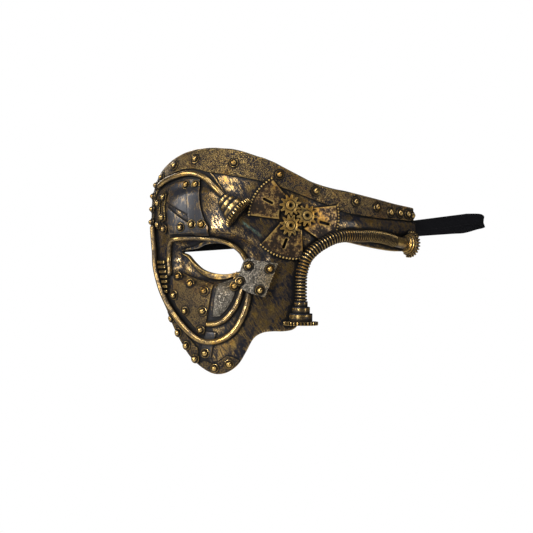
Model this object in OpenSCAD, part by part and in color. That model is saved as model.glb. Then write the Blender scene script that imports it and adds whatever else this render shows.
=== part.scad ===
// Steampunk half mask: one curved shell over the left half of the face, with a long temple arm.
// Every applied piece is placed by two skin coordinates: s, the distance round the face from its
// mid-plane towards the wearer's left ear, and z, the height above the eye line. h is the height
// off the skin. The wearer looks along -Y, +X is the wearer's left and +Z is up.

/* [Head form] */
// Half the width of the head at the temples
head_half_w = 76; // [64:1:92]
// Distance from the bridge of the nose back to the temples
head_depth = 95; // [80:1:114]
// Length of skin from the mid-plane round to the temple
wrap = 135; // [113:1:162]
// How far the arm has bent inwards at its free end
arm_bend = 12; // [8:0.5:15]
// Depth of the eye socket below the skin
socket_depth = 6; // [4:0.5:7.5]
// Height of the brow above the skin
brow_rise = 2.5; // [1:0.5:4]
// Height of the rounded ridge along the arm
arm_ridge = 2; // [1:0.5:3]

/* [Shell and plates] */
// Wall of the shell
wall = 2.4; // [1.8:0.1:3.2]
// Thickness of the forehead band
band_t = 1.2; // [0.8:0.1:1.8]
// Thickness of the brow, cheek and jaw plates
plate_t = 1.2; // [0.8:0.1:1.8]
// Thickness of the narrow straps and links
link_t = 1; // [0.7:0.1:1.5]
// Width of the brow links
link_w = 6.5; // [5:0.5:8]
// Thickness of the raised corner plate
corner_t = 1.4; // [1:0.1:2]
// Width of the upper eyelid at its middle
upper_lid_w = 2.4; // [1.8:0.1:2.9]
// Width of the lower eyelid at its middle
lower_lid_w = 4; // [3:0.5:4.8]

/* [Rivets] */
// Radius of a rivet's dome
dome_r = 2.3; // [1.9:0.1:2.8]
// Radius of a rivet's washer
washer_r = 3.2; // [2.9:0.1:3.9]
// Thickness of a rivet's washer
washer_t = 0.9; // [0.7:0.1:1.2]
// Depth that an applied piece is bedded in what carries it
bed = 0.4; // [0.3:0.1:0.5]

/* [Pipes] */
// Radius of the brow pipe
brow_pipe_r = 2; // [1.6:0.1:2.4]
// Radius of the pipe round the eye
eye_pipe_r = 1.7; // [1.4:0.1:2]
// Radius of the pipe round the cheek
edge_pipe_r = 2; // [1.6:0.1:2.4]
// Radius of the short pipe inside it
inner_pipe_r = 1.8; // [1.5:0.1:2.2]

/* [Hose] */
// Outside radius of the ringed hose
hose_r = 4.2; // [3.5:0.1:5]
// Distance from one hose ring to the next
ring_pitch = 2.2; // [1.9:0.1:2.7]
// Gap between one hose ring and the next where the hose is straight
ring_gap = 0.7; // [0.6:0.1:0.9]
// Outside radius of the widest collar step
collar_r = 8; // [6.7:0.1:9.6]
// Outside radius of the toothed flanges on the collars
flange_r = 12; // [10.5:0.5:14]
// Thickness of the toothed flanges
flange_t = 2.5; // [2:0.1:3]
// Number of teeth round a flange
flange_teeth = 30; // [24:1:36]

/* [Fan and gears] */
// Outside radius of the fan
fan_r = 31; // [26:1:37]
// Gap between the gears' eyelets and the inner ends of the blades
eyelet_to_blade = 0.5; // [0.4:0.1:0.8]
// Teeth along the rim of each blade
blade_teeth = 14; // [11:1:17]
// Thickness of a blade
blade_t = 1.2; // [0.8:0.1:1.6]
// Length of the slot in each blade
slot_l = 7.5; // [6:0.5:9]
// Width of the slot in each blade
slot_w = 1.8; // [1.4:0.1:2.2]
// Number of teeth on each gear
gear_teeth = 11; // [9:1:13]
// Outside radius of a gear
gear_r = 7.7; // [6.6:0.1:9.2]
// Depth of a gear's teeth
tooth_l = 2.5; // [2:0.1:3]
// Gap between a tooth's tip and the root of the gear that it meets
tip_gap = 1; // [0.8:0.1:1.2]
// Thickness of a gear
gear_t = 1.5; // [1.2:0.1:2]
// Radius of the bore in a gear
gear_bore = 2; // [1.7:0.1:2.4]
// Radial gap between a gear's bore and its eyelet
eyelet_gap = 0.05; // [0.03:0.01:0.1]

/* [Elastic] */
// Width of the elastic band
elastic_w = 8; // [6.5:0.5:9.5]
// Thickness of the elastic band
elastic_t = 1.2; // [1:0.1:1.5]
// How far the elastic reaches behind the arm's end
elastic_reach = 68; // [56:1:82]

/* [Hidden] */
$fn = 48;

arm_l = 75;                    // length of the arm behind the temple
arm_end = wrap + arm_l;
crown_fall = 0.0011;           // how fast the head narrows above the temples
jaw_fall = 0.0009;             // how fast it narrows below the eyes
brow_fall = 0.0042;            // how fast the forehead slopes back
chin_fall = 0.0006;            // how fast the cheek slopes back
socket_at = [51, 2];
socket_size = [44, 20];
brow_at = [42, 32];
brow_size = [46, 22];

// Pieces of the outline, as skin coordinates [s, z], from the far side of the nose to the arm's end
shell_low = [[-19, 47], [-17, 36], [-15, 25], [-15, 14], [-12, 0], [-6, -13], [1, -24], [11, -36],
             [21, -51], [31, -64], [41, -72], [51, -77], [59, -77.5], [66, -75], [72, -70], [77, -62],
             [82, -53], [88, -49], [95, -48], [102, -48], [109, -46.5], [113, -41], [114, -31], [114, -16],
             [115, -5], [118, 1.8], [122.5, 6.8], [129, 11.4], [138, 14.4], [149, 13.5], [160, 11.5],
             [176, 9], [192, 7.5], [arm_end, 8]];
shell_top = [[-13, 61], [-6, 66], [2, 70], [8, 73], [14, 75.5], [20, 77], [26, 78.5], [32, 79],
             [39, 79.5], [46, 79.5], [53, 79], [60, 78.5], [66, 77.5], [72, 76], [77, 74.5], [82, 73],
             [86, 72], [90, 70.5], [94, 69], [98, 67], [101, 65.5], [104, 64], [107, 62.5], [110, 61],
             [113, 59.5], [116, 58], [120, 56], [127, 53.5], [137, 51], [147, 49.5], [160, 47],
             [176, 44], [192, 41], [arm_end, 38.5]];
eye_low = [[22, 6.4], [28, 4.5], [34, 0], [42, -5], [50, -7.5], [58, -8.5], [66, -8], [73, -6], [80, -1.6]];
eye_top = [[22, 7.6], [27, 8.5], [36, 9.5], [44, 12], [53, 13], [63, 12], [71, 8.5], [76, 4], [80, -0.4]];
band_low = [[-9, 22], [-9, 36], [-10, 45], [-5, 53], [4, 59], [15, 62.5], [30, 64.5], [46, 62], [62, 60],
            [75, 58], [88, 55], [104, 50], [122, 43], [144, 35], [156, 33], [172, 31], [191, 30],
            [arm_end - 1, 29]];
band_top = [[-13.5, 21], [-15.5, 36], [-17.5, 46.5], [-12, 60], [-1, 68], [11, 73.5], [24, 77], [42, 78.5],
            [60, 77.5], [76, 74], [91, 69.5], [107, 61.8], [121, 54.8], [140, 49.6], [156, 47],
            [172, 44], [191, 40.5], [arm_end - 1, 38]];

// Centre lines of the pipes on the skin
brow_line = [[-4, 53], [3, 56], [15, 59], [26, 61], [36, 60.5], [45, 57.5], [53, 52], [61, 45.5]];
eye_line = [[15.3, -8], [12.6, -1], [12.3, 3], [13.4, 8], [16, 13], [20, 15.5], [32, 16.5], [46, 16.5],
            [58, 15], [66, 12], [73, 7], [78, -1]];
edge_line = [[-6.5, 24], [-5, 16], [-3, 7], [-2, -2], [2, -11], [8, -21], [16, -31], [25, -40], [34, -48],
             [44, -54], [54, -55], [63, -52], [70, -46], [75, -37], [78, -28], [79, -19]];
inner_line = [[50, -43], [56, -42.5], [62, -40], [67, -35], [71, -29], [75, -18]];
ring_wire = (ring_pitch - ring_gap) / 2;
core_r = hose_r - 2 * ring_wire + 0.3;                 // the rings are bedded in the core
hose_h = hose_r - bed;         // height of the hose's centre line where it lies on the skin
// The hose's centre line, which follows the shell's rear edge
hose_line = [[112.3, -27], [112.3, -18], [112.6, -9], [114.2, -2.5], [116.4, 3], [121.3, 8.5], [128, 13.2],
             [136.1, 16.8], [146.3, 18], [157, 18], [167, 18], [177, 16.8], [187, 14.5]];
sleeve_end = [197, 13];

// Rivet places, as skin coordinates
band_spots = [[-11.5, 28], [-12, 37], [-14, 46], [-11, 53.5], [-4, 59], [11, 67], [32, 71], [65, 68],
              [98, 60], [123, 49], [154, 42], [173, 38.5]];
arm_spots = [[185.5, 35], [194.5, 34.5], [202.5, 34], [207, 33]];
strap_spots = [[30, 53], [38.5, 53], [39.5, 26], [47, 26]];
link_outer = [[-2, 41], [1, 26]];
link_inner = [[5.5, 45], [10, 31]];
plate_spots = [[11.5, 23], [29.5, 24]];
cheek_spots = [[23, -10], [35.5, -15], [47.5, -20], [20.5, -23], [31, -34], [46, -34], [44, -47]];
corner_spots = [[79, -3], [92.5, -5], [86, -19.5], [73.3, -13.5]];
insert_spot = [69.5, -16.5];
star_spot = [70.3, -9.8];
strip_spots = [[17, -39], [23.5, -49], [31, -58], [38.5, -67]];
jaw_strap_spot = [47, -63];
jaw_spots = [[54, -73.3], [65, -70.5]];

fan_hub = [109, 32];
blade_dirs = [151, -15, 251];  // middle direction of each blade
blade_outer_half = 28.5;       // half angle of a blade at its rim
blade_inner_half = 43;         // half angle of a blade at its inner end
rim_notch = 1;                 // depth of the rim's teeth
slot_at = 20.3;                // distance of a slot from the hub
blade_h = band_t;              // the blades' corners lie on the forehead band
gear_h = blade_h + blade_t + 0.4;
gear_dirs = [120, 0, 240];
gear_gap = 2 * gear_r - tooth_l + tip_gap;
gear_orbit = gear_gap / sqrt(3);
fan_inner_r = gear_orbit + gear_bore + eyelet_to_blade;
eyelet_r = gear_bore - eyelet_gap;
union_at = [61, 43];
union_turn = -40;
collar_steps = [[0.58, 3.8], [0.78, 4.6], [1, 5.6]];   // radius as a share of collar_r, and length
collar_l = collar_steps[0][1] + collar_steps[1][1] + collar_steps[2][1];
upper_share = 0.75;            // size of the hose's upper fittings against the lower ones
comb_fins = 7;
comb_pitch = 3.4;
corner_h = 2 * edge_pipe_r + link_t - bed;             // the corner plate lies on the pipe ends

// ---- The skin ----
function half_w(z) = head_half_w - crown_fall * pow(max(0, z - 20), 2)
                     - jaw_fall * pow(max(0, -z - 10), 2);
function front_y(z) = brow_fall * pow(max(0, z - 25), 2) + chin_fall * pow(max(0, -z), 2);
function skin(s, z) = s <= wrap
    ? [half_w(z) * sin(90 * s / wrap), head_depth - (head_depth - front_y(z)) * cos(90 * s / wrap), z]
    : [half_w(z) - arm_bend * pow((s - wrap) / arm_l, 2), head_depth + s - wrap, z];
function unit(v) = v / norm(v);
function normal(s, z) = unit(cross(skin(s + 0.1, z) - skin(s - 0.1, z), skin(s, z + 0.1) - skin(s, z - 0.1)));
function ease(t) = let (c = min(1, max(0, t))) c * c * (3 - 2 * c);
function bump(s, z, mid, size) =
    ease(1.6 * (1 - pow((s - mid[0]) / size[0], 2) - pow((z - mid[1]) / size[1], 2)));
function ridge_z(s) = 27 - 0.05 * (s - wrap);
function relief(s, z) = brow_rise * bump(s, z, brow_at, brow_size)
    - (socket_depth + brow_rise / 2) * bump(s, z, socket_at, socket_size)
    + arm_ridge * ease((s - wrap) / 20) * ease(1.4 - abs(z - ridge_z(s)) / 5);
function at(p, h) = skin(p[0], p[1]) + (relief(p[0], p[1]) + h) * normal(p[0], p[1]);

// ---- Curves ----
function knot(a, b, c, d, t) = 0.5 * (2 * b + t * (c - a) + t * t * (2 * a - 5 * b + 4 * c - d)
                                      + t * t * t * (3 * b - a - 3 * c + d));
function curve(p, k) = [for (i = [0:len(p) - 2]) for (j = [0:k - 1])
    knot(p[max(i - 1, 0)], p[i], p[i + 1], p[min(i + 2, len(p) - 1)], j / k), p[len(p) - 1]];
function heading(c, i) = unit(c[min(i + 1, len(c) - 1)] - c[max(i - 1, 0)]);
function measure(c, i = 0, sum = [0]) =
    i == len(c) - 1 ? sum : measure(c, i + 1, concat(sum, [sum[i] + norm(c[i + 1] - c[i])]));

// The far edge of a lid whose width swells from nearly nothing at the corners to w at the middle
function lid_edge(p, w) = [for (i = [0:len(p) - 1]) p[i] + [0, w * max(0.2, sin(180 * i / (len(p) - 1)))]];

// ---- Solids that follow the skin ----
// Triangles of a closed grid with two skins, n columns of m points each
function grid_faces(n, m, flip) = let (
    k = n * m,
    cells = [for (i = [0:n - 2]) for (j = [0:m - 2])
             [i * m + j, i * m + j + 1, (i + 1) * m + j + 1, (i + 1) * m + j]],
    rim = concat([for (i = [0:n - 2]) [(i + 1) * m, i * m]],
                 [for (j = [0:m - 2]) [j, j + 1]],
                 [for (i = [0:n - 2]) [i * m + m - 1, (i + 1) * m + m - 1]],
                 [for (j = [m - 2:-1:0]) [(n - 1) * m + j + 1, (n - 1) * m + j]]),
    outer = [for (c = cells) each [[c[0] + k, c[1] + k, c[2] + k], [c[0] + k, c[2] + k, c[3] + k]]],
    inner = [for (c = cells) each [[c[2], c[1], c[0]], [c[3], c[2], c[0]]]],
    walls = [for (e = rim) each [[e[0], e[1], e[1] + k], [e[0], e[1] + k, e[0] + k]]],
    all = concat(outer, inner, walls))
    flip ? [for (f = all) [f[2], f[1], f[0]]] : all;

// A plate ruled between two edges on the skin, from height h0 to height h1
module plate(low, top, h0, h1, rows = 3) {
    points = [for (h = [h0, h1]) for (i = [0:len(low) - 1]) for (j = [0:rows])
              at(low[i] + (top[i] - low[i]) * j / rows, h)];
    polyhedron(points, grid_faces(len(low), rows + 1, cross(low[1] - low[0], top[1] - low[0]) < 0));
}

// A plate with smooth edges
module smooth_plate(low, top, h0, h1, rows = 3, k = 3) plate(curve(low, k), curve(top, k), h0, h1, rows);

// A bar between two skin points, w wide, with clipped corners
module link_bar(ends, w, h0, h1) {
    d = unit(ends[1] - ends[0]);
    e = [-d[1], d[0]];
    overhang = 0.5 * w;
    shoulder = 0.2 * w;
    spine = [ends[0] - d * overhang, ends[0] - d * shoulder, ends[0] * 0.75 + ends[1] * 0.25,
             (ends[0] + ends[1]) / 2, ends[0] * 0.25 + ends[1] * 0.75, ends[1] + d * shoulder,
             ends[1] + d * overhang];
    half = [0.32, 0.5, 0.42, 0.38, 0.42, 0.5, 0.32];   // half width at each, as a share of w
    last = len(spine) - 1;
    plate([for (i = [0:last]) spine[i] - e * w * half[i]], [for (i = [0:last]) spine[i] + e * w * half[i]],
          h0, h1, 2);
}

// A tube through the points c, with its cross-section turned to the directions in ups
module tube(c, ups, section) {
    m = len(section);
    points = [for (i = [0:len(c) - 1]) let (t = heading(c, i), a = unit(cross(t, ups[i])), b = cross(a, t))
              for (q = section) c[i] + q[0] * a + q[1] * b];
    sides = [for (i = [0:len(c) - 2]) for (j = [0:m - 1]) let (o = i * m, k = (j + 1) % m)
             each [[o + j, o + k, o + m + k], [o + j, o + m + k, o + m + j]]];
    polyhedron(points, concat(sides, [[for (j = [m - 1:-1:0]) j]],
                              [[for (j = [0:m - 1]) (len(c) - 1) * m + j]]));
}
function round_section(r, sides) = [for (j = [0:sides - 1]) r * [cos(360 * j / sides), sin(360 * j / sides)]];

// A round pipe along a line on the skin, its centre at height h
module pipe(line, r, h, k = 3, sides = 10) {
    c = curve(line, k);
    tube([for (p = c) at(p, h)], [for (p = c) normal(p[0], p[1])], round_section(r, sides));
}

// Sets a piece up at a skin point: its X runs with s, its Y with z, and its Z off the skin
module stand(p, h = 0, spin = 0) {
    n = normal(p[0], p[1]);
    translate(at(p, h)) rotate([0, acos(n[2]), atan2(n[1], n[0])]) rotate(90 + spin) children();
}

// Lays a turned piece along the skin in the direction turn, with a flat back bedded in the skin
module lay(p, h, turn) {
    reach = 3 * flange_r;
    stand(p, 0, turn) intersection() {
        translate([0, 0, h]) rotate([0, 90, 0]) children();
        translate([-reach, -reach, -bed]) cube([2 * reach, 2 * reach, reach]);
    }
}

// ---- Shared small parts ----
module dome(r) difference() {
    sphere(r);
    translate([0, 0, -r]) cube([3 * r, 3 * r, 2 * r], center = true);
}

module rivet() {
    translate([0, 0, -bed]) cylinder(r = washer_r, h = washer_t);
    translate([0, 0, washer_t - bed]) dome(dome_r);
}

module rivets(spots, h) for (p = spots) stand(p, h) rivet();

module collar(share) {
    for (i = [0:len(collar_steps) - 1]) {
        start = i == 0 ? 0 : i == 1 ? collar_steps[0][1] : collar_steps[0][1] + collar_steps[1][1];
        translate([0, 0, start * share])
            cylinder(r = collar_r * collar_steps[i][0] * share, h = collar_steps[i][1] * share);
    }
}

module toothed_disc(r, t, teeth) {
    tooth = PI * r / teeth;
    cylinder(r = r - tooth, h = t);
    for (i = [0:teeth - 1]) rotate(360 * (i + 0.5) / teeth)
        translate([r - tooth - 0.5, -tooth / 2, 0]) cube([tooth + 0.5, tooth, t]);
}

module gear(phase) {
    root = gear_r - tooth_l;
    difference() {
        union() {
            cylinder(r = root, h = gear_t);
            for (i = [0:gear_teeth - 1]) rotate(phase + 360 * i / gear_teeth)
                linear_extrude(gear_t)
                    polygon([[root - 0.6, -1.1], [gear_r - 0.3, -0.65], [gear_r, 0], [gear_r - 0.3, 0.65],
                             [root - 0.6, 1.1]]);
        }
        translate([0, 0, -1]) cylinder(r = gear_bore, h = gear_t + 2);
    }
}

// Turn of each gear that brings all three pairs into mesh
function mesh_turn(a) = 2 * a * gear_teeth / 360 + (gear_teeth - 1) / 2;
function gear_phase(i) = let (
    ab = mesh_turn(-30), ac = mesh_turn(-90), bc = mesh_turn(210),
    turns = [(ab + ac - bc) / 2, (ab + bc - ac) / 2, (ac + bc - ab) / 2]) turns[i] * 360 / gear_teeth;

module on_gear_centre(i) stand(fan_hub, gear_h)
    translate(gear_orbit * [cos(gear_dirs[i]), sin(gear_dirs[i]), 0]) children();

module fan_blade(i) {
    n = 2 * blade_teeth;
    outer = [for (j = [0:n]) let (a = blade_dirs[i] + blade_outer_half * (1 - 2 * j / n))
             fan_hub + (j % 2 == 0 ? fan_r : fan_r - rim_notch) * [cos(a), sin(a)]];
    inner = [for (j = [0:n]) let (a = blade_dirs[i] + blade_inner_half * (1 - 2 * j / n))
             fan_hub + fan_inner_r * [cos(a), sin(a)]];
    slot = fan_hub + slot_at * [cos(blade_dirs[i]), sin(blade_dirs[i])];
    difference() {
        plate(inner, outer, blade_h, blade_h + blade_t, 4);
        stand(slot, -5, blade_dirs[i]) linear_extrude(20) {
            square([slot_l - slot_w, slot_w], center = true);
            for (x = [-1, 1]) translate([x * (slot_l - slot_w) / 2, 0]) circle(d = slot_w);
        }
    }
}

// ---- Nodes ----
module face_shell() color("darkslategray") difference() {
    smooth_plate(shell_low, shell_top, -wall, 0, 22, 2);
    smooth_plate(eye_low, eye_top, -3 * wall, 2 * wall, 2, 3);
}

module forehead_band() color("dimgray") smooth_plate(band_low, band_top, -bed, band_t, 3, 3);

module band_rivets() color("goldenrod") rivets(band_spots, band_t);

module arm_end_rivets() color("goldenrod") rivets(arm_spots, band_t);

module brow_pipe() color("darkgoldenrod") pipe(brow_line, brow_pipe_r, brow_pipe_r - bed);

module brow_union() color("darkgoldenrod") lay(union_at, 2, union_turn) collar(1);

module brow_union_flange() color("goldenrod") lay(union_at, 2, union_turn)
    translate([0, 0, collar_l]) toothed_disc(flange_r, flange_t, flange_teeth);

module upper_brow_plate() color("slategray")
    smooth_plate([[12, 42], [18, 39.8], [27, 36], [37, 32]], [[11, 53], [17, 54.8], [25, 56], [34, 57]],
                 -bed, plate_t);

module lower_brow_plate() color("slategray")
    smooth_plate([[17, 19], [27, 19.5], [41.5, 20]], [[15, 38], [24, 33], [39.5, 25]], -bed, plate_t);

module brow_strap() color("saddlebrown")
    smooth_plate([[28, 57], [33.5, 45], [35, 37], [36, 30], [38, 23], [40.5, 18]],
                 [[41, 57], [43.5, 47], [45.5, 38], [48.5, 30], [51.8, 24], [50.5, 18]],
                 plate_t - bed, plate_t + link_t, 3, 2);

module outer_brow_link() color("peru") link_bar(link_outer, link_w, -bed, link_t);

module inner_brow_link() color("peru") link_bar(link_inner, link_w, -bed, link_t);

module brow_rivets() color("goldenrod") {
    rivets(strap_spots, plate_t + link_t);
    rivets(concat(link_outer, link_inner), link_t);
    rivets(plate_spots, plate_t);
}

module eye_frame_pipe() color("darkgoldenrod") pipe(eye_line, eye_pipe_r, eye_pipe_r - bed);

module upper_eyelid() color("black")
    smooth_plate(eye_top, lid_edge(eye_top, upper_lid_w), -bed, 1.2, 2, 2);

module lower_eyelid() color("sienna")
    smooth_plate(lid_edge(eye_low, -lower_lid_w), eye_low, -bed, 1.8, 2, 2);

module bridge_comb() color("darkgoldenrod") for (i = [0:comb_fins - 1]) {
    z = -comb_pitch * i;
    left = 1.5 - 0.42 * z;
    right = min(13.4, 10.4 - 0.3 * z);
    stand([(left + right) / 2, z], -bed) translate([0, 0, 1.6])
        cube([right - left, comb_pitch * 0.5, 3.2], center = true);
}

module edge_pipe() color("darkgoldenrod") pipe(edge_line, edge_pipe_r, edge_pipe_r + link_t - bed, 3, 9);

module inner_pipe() color("darkgoldenrod") pipe(inner_line, inner_pipe_r, inner_pipe_r - bed, 3, 9);

module cheek_plate() color("dimgray")
    smooth_plate([[19, -21], [22, -30], [28, -35.5], [34, -40.5], [40, -46], [46.3, -51]],
                 [[19.5, -6], [25, -8], [31, -10], [38, -11.8], [46, -13.6], [54, -15.6]], -bed, plate_t, 8, 2);

module cheek_rivets() color("goldenrod") rivets(cheek_spots, plate_t);

module cheek_insert() color("silver")
    smooth_plate([[53.5, -37.5], [54.6, -29], [55.8, -22], [57.5, -15]],
                 [[58.5, -38], [64.5, -31.5], [69, -23.5], [72, -10]], -bed, plate_t, 2);

module star_gear() color("gold") stand(star_spot, plate_t) linear_extrude(1.6)
    polygon([for (i = [0:15]) (i % 2 == 0 ? 3.4 : 2.1) * [cos(22.5 * i), sin(22.5 * i)]]);

module corner_plate() color("silver")
    plate(curve([[71.5, -12], [75.5, -19], [82, -22], [89, -24]], 3),
          curve([[73.5, -5], [77, 2], [87, 0.5], [97.5, -1]], 3), corner_h, corner_h + corner_t, 4);

module corner_rivets() color("goldenrod") {
    rivets(corner_spots, corner_h + corner_t);
    for (p = corner_spots) stand(p, -bed) cylinder(r = dome_r / 2, h = corner_h + corner_t);
    rivets([insert_spot], plate_t);
}

module jaw_edge_strip() color("dimgray")
    smooth_plate([[11.5, -34.5], [22, -50.5], [31.5, -62.5], [40.5, -70.5]],
                 [[16, -34], [25.5, -44], [33.5, -52.5], [41, -60]], -bed, plate_t, 2);

module jaw_strap() color("darkslategray")
    smooth_plate([[43, -65.5], [44.5, -58], [48, -48]], [[51, -66.5], [53, -58], [56, -49]], -bed, link_t, 2);

module jaw_plate() color("dimgray")
    smooth_plate([[42.5, -72], [47, -74.5], [52, -76.3], [59, -76.5], [66, -73.8], [72, -68.8]],
                 [[43, -69.5], [47, -68.5], [51, -70], [57, -69], [64, -65], [72, -67.6]], -bed, plate_t, 2);

module jaw_rivets() color("goldenrod") {
    rivets(concat(strip_spots, jaw_spots), plate_t);
    rivets([jaw_strap_spot], link_t);
}

module fan_blade_front() color("chocolate") fan_blade(0);

module fan_blade_rear() color("chocolate") fan_blade(1);

module fan_blade_lower() color("chocolate") fan_blade(2);

module gear_upper() color("tan") on_gear_centre(0) gear(gear_phase(0));

module gear_rear() color("tan") on_gear_centre(1) gear(gear_phase(1));

module gear_lower() color("tan") on_gear_centre(2) gear(gear_phase(2));

module gear_eyelets() color("goldenrod") for (i = [0:2]) on_gear_centre(i) difference() {
    union() {
        translate([0, 0, -gear_h - bed]) cylinder(r = eyelet_r, h = gear_h + bed + gear_t);
        translate([0, 0, gear_t]) cylinder(r = gear_bore + 1.2, h = 0.7);
    }
    translate([0, 0, gear_t - 1.5]) cylinder(r = eyelet_r - 0.7, h = 4);
}

hose_path = [for (p = curve(hose_line, 4)) at(p, hose_h)];
hose_reach = measure(hose_path);
ring_count = floor(hose_reach[len(hose_reach) - 1] / ring_pitch - 0.5);

module hose_core() color("black")
    tube([for (i = [0:2:len(hose_path) - 1]) hose_path[i]],
         [for (p = curve(hose_line, 2)) normal(p[0], p[1])], round_section(core_r, 10));

module hose_rings() color("darkgoldenrod") for (i = [0:ring_count - 1]) {
    d = ring_pitch * (i + 0.5);
    k = max([for (j = [0:len(hose_path) - 2]) hose_reach[j] <= d ? j : 0]);
    t = unit(hose_path[k + 1] - hose_path[k]);
    translate(hose_path[k] + t * (d - hose_reach[k]))
        rotate([0, acos(t[2]), atan2(t[1], t[0])])
            rotate_extrude() translate([hose_r - ring_wire, 0]) circle(r = ring_wire, $fn = 20);
}

// The lower fittings hang below the hose and the upper ones follow its sleeve
module below_hose() lay(hose_line[0], hose_h, -90) children();

module after_sleeve() lay(sleeve_end, hose_h, -6) children();

module hose_lower_collar() color("peru") below_hose() collar(1);

module hose_lower_flange() color("goldenrod") below_hose()
    translate([0, 0, collar_l]) toothed_disc(flange_r, flange_t, flange_teeth);

module hose_sleeve() color("saddlebrown") {
    last = hose_line[len(hose_line) - 1];
    pipe([last, (last + sleeve_end) / 2, sleeve_end], hose_r - bed, hose_h, 3, 16);
}

module hose_upper_collar() color("peru") after_sleeve() for (i = [0:1])
    translate([0, 0, 1.8 * i]) cylinder(r = collar_r * upper_share + 0.8 * i, h = 1.8);

module hose_upper_flange() color("goldenrod") after_sleeve()
    translate([0, 0, 3.6]) toothed_disc(flange_r * upper_share + 0.4, flange_t, flange_teeth - 6);

// The elastic: from inside the arm's end, back to a fold, and forward to inside the far edge
near_spot = [arm_end - 5, 24.5];
far_spot = [-6, 9];
inside = -wall - elastic_t / 2 - 0.6;
fold = skin(arm_end, 0) + [-12, elastic_reach, 0];
lead_out = at(near_spot + [6, 1], inside);
fold_out = fold + [3, -16, 31];
fold_in = fold + [-5, -14, 25];
lead_in = at(far_spot + [6, 1], inside - 2);
runs = [0.04, 0.15, 0.5, 0.85, 0.96];
elastic_points = concat([at(near_spot + [-4, 0], inside), at(near_spot + [1, 0], inside), lead_out],
                        [for (f = runs) lead_out + (fold_out - lead_out) * f],
                        [fold_out, fold + [1.6, -5, 31], fold + [0.4, -1, 29.5], fold + [-1, -1, 28.5],
                         fold + [-2.6, -5, 27.5], fold_in],
                        [for (f = runs) fold_in + (lead_in - fold_in) * f],
                        [lead_in, at(far_spot + [1, 0], inside), at(far_spot + [-4, 0], inside)]);
elastic_path = curve(elastic_points, 2);

module elastic_strap() color("black")
    tube(elastic_path, [for (i = [0:len(elastic_path) - 1]) unit(cross([0, 0, 1], heading(elastic_path, i)))],
         [[-elastic_w, -elastic_t] / 2, [elastic_w, -elastic_t] / 2, [elastic_w, elastic_t] / 2,
          [-elastic_w, elastic_t] / 2]);

// A rivet inside the shell, its shank through the elastic into the wall
module inner_rivet(p) stand(p, inside - elastic_t / 2) mirror([0, 0, 1]) {
    rivet();
    translate([0, 0, inside + wall / 2]) cylinder(r = dome_r / 2, h = -inside - wall / 2);
}

module near_strap_rivet() color("goldenrod") inner_rivet(near_spot);

module far_strap_rivet() color("goldenrod") inner_rivet(far_spot);

face_shell();
forehead_band();
band_rivets();
arm_end_rivets();
brow_pipe();
brow_union();
brow_union_flange();
upper_brow_plate();
lower_brow_plate();
brow_strap();
outer_brow_link();
inner_brow_link();
brow_rivets();
eye_frame_pipe();
upper_eyelid();
lower_eyelid();
bridge_comb();
edge_pipe();
inner_pipe();
cheek_plate();
cheek_rivets();
cheek_insert();
star_gear();
corner_plate();
corner_rivets();
jaw_edge_strip();
jaw_strap();
jaw_plate();
jaw_rivets();
fan_blade_front();
fan_blade_rear();
fan_blade_lower();
gear_upper();
gear_rear();
gear_lower();
gear_eyelets();
hose_core();
hose_rings();
hose_lower_collar();
hose_lower_flange();
hose_sleeve();
hose_upper_collar();
hose_upper_flange();
elastic_strap();
near_strap_rivet();
far_strap_rivet();
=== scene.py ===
"""Looks of the steampunk half mask.

Every piece is placed as the frame's pieces are: s is the distance round the face from its mid-plane
towards the wearer's left ear, z the height above the eye line and h the height off the skin, all in
millimetres. A finished mesh is in metres, in the frame's own axes.
"""
import math

import bmesh
import bpy
import numpy as np
from mathutils import Matrix, Vector
from mathutils.bvhtree import BVHTree
from mathutils.geometry import delaunay_2d_cdt


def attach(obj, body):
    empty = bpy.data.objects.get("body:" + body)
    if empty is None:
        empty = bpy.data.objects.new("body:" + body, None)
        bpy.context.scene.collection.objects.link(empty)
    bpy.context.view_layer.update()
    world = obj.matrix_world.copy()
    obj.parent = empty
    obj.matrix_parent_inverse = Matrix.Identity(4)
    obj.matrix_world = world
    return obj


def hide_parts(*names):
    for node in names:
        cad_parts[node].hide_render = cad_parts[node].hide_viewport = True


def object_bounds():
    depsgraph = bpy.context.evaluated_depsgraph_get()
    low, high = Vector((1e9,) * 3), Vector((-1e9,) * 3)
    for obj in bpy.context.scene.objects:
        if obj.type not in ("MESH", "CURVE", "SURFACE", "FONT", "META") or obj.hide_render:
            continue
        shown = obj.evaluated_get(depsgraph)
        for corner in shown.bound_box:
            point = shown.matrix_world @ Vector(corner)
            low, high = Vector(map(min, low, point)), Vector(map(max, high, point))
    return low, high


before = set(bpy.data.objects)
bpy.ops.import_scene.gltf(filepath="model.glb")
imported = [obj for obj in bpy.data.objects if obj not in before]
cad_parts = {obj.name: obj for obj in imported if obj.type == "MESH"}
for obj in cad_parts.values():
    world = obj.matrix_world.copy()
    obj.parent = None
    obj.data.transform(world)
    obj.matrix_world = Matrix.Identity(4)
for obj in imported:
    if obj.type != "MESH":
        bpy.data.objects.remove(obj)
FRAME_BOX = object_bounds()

bl_info = {
    "name": "Steampunk Half Mask",
    "version": (1, 0, 0),
    "blender": (4, 5, 0),
    "location": "View3D > Sidebar > Half Mask",
    "description": "Makes the pieces and the paint of a steampunk half mask",
    "category": "Add Mesh",
}

MM = 0.001
BODY = "root"
SHARP_ANGLE = math.radians(38)  # edges between faces that turn by more than this stay sharp
PIPE_STEPS = 8  # points on a pipe between two of its places
GOLDEN_TURN = 2.399963  # spreads rays evenly round an axis
RAY_LIFT = 0.06  # rays start this far off the surface
# The second colour is the near black of the painted shade and the black wash in the hollows.
VERDIGRIS, WASH_AND_SHADE_BLACK = (0.17, 0.25, 0.19, 1.0), (0.006, 0.0055, 0.005, 1.0)

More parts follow.
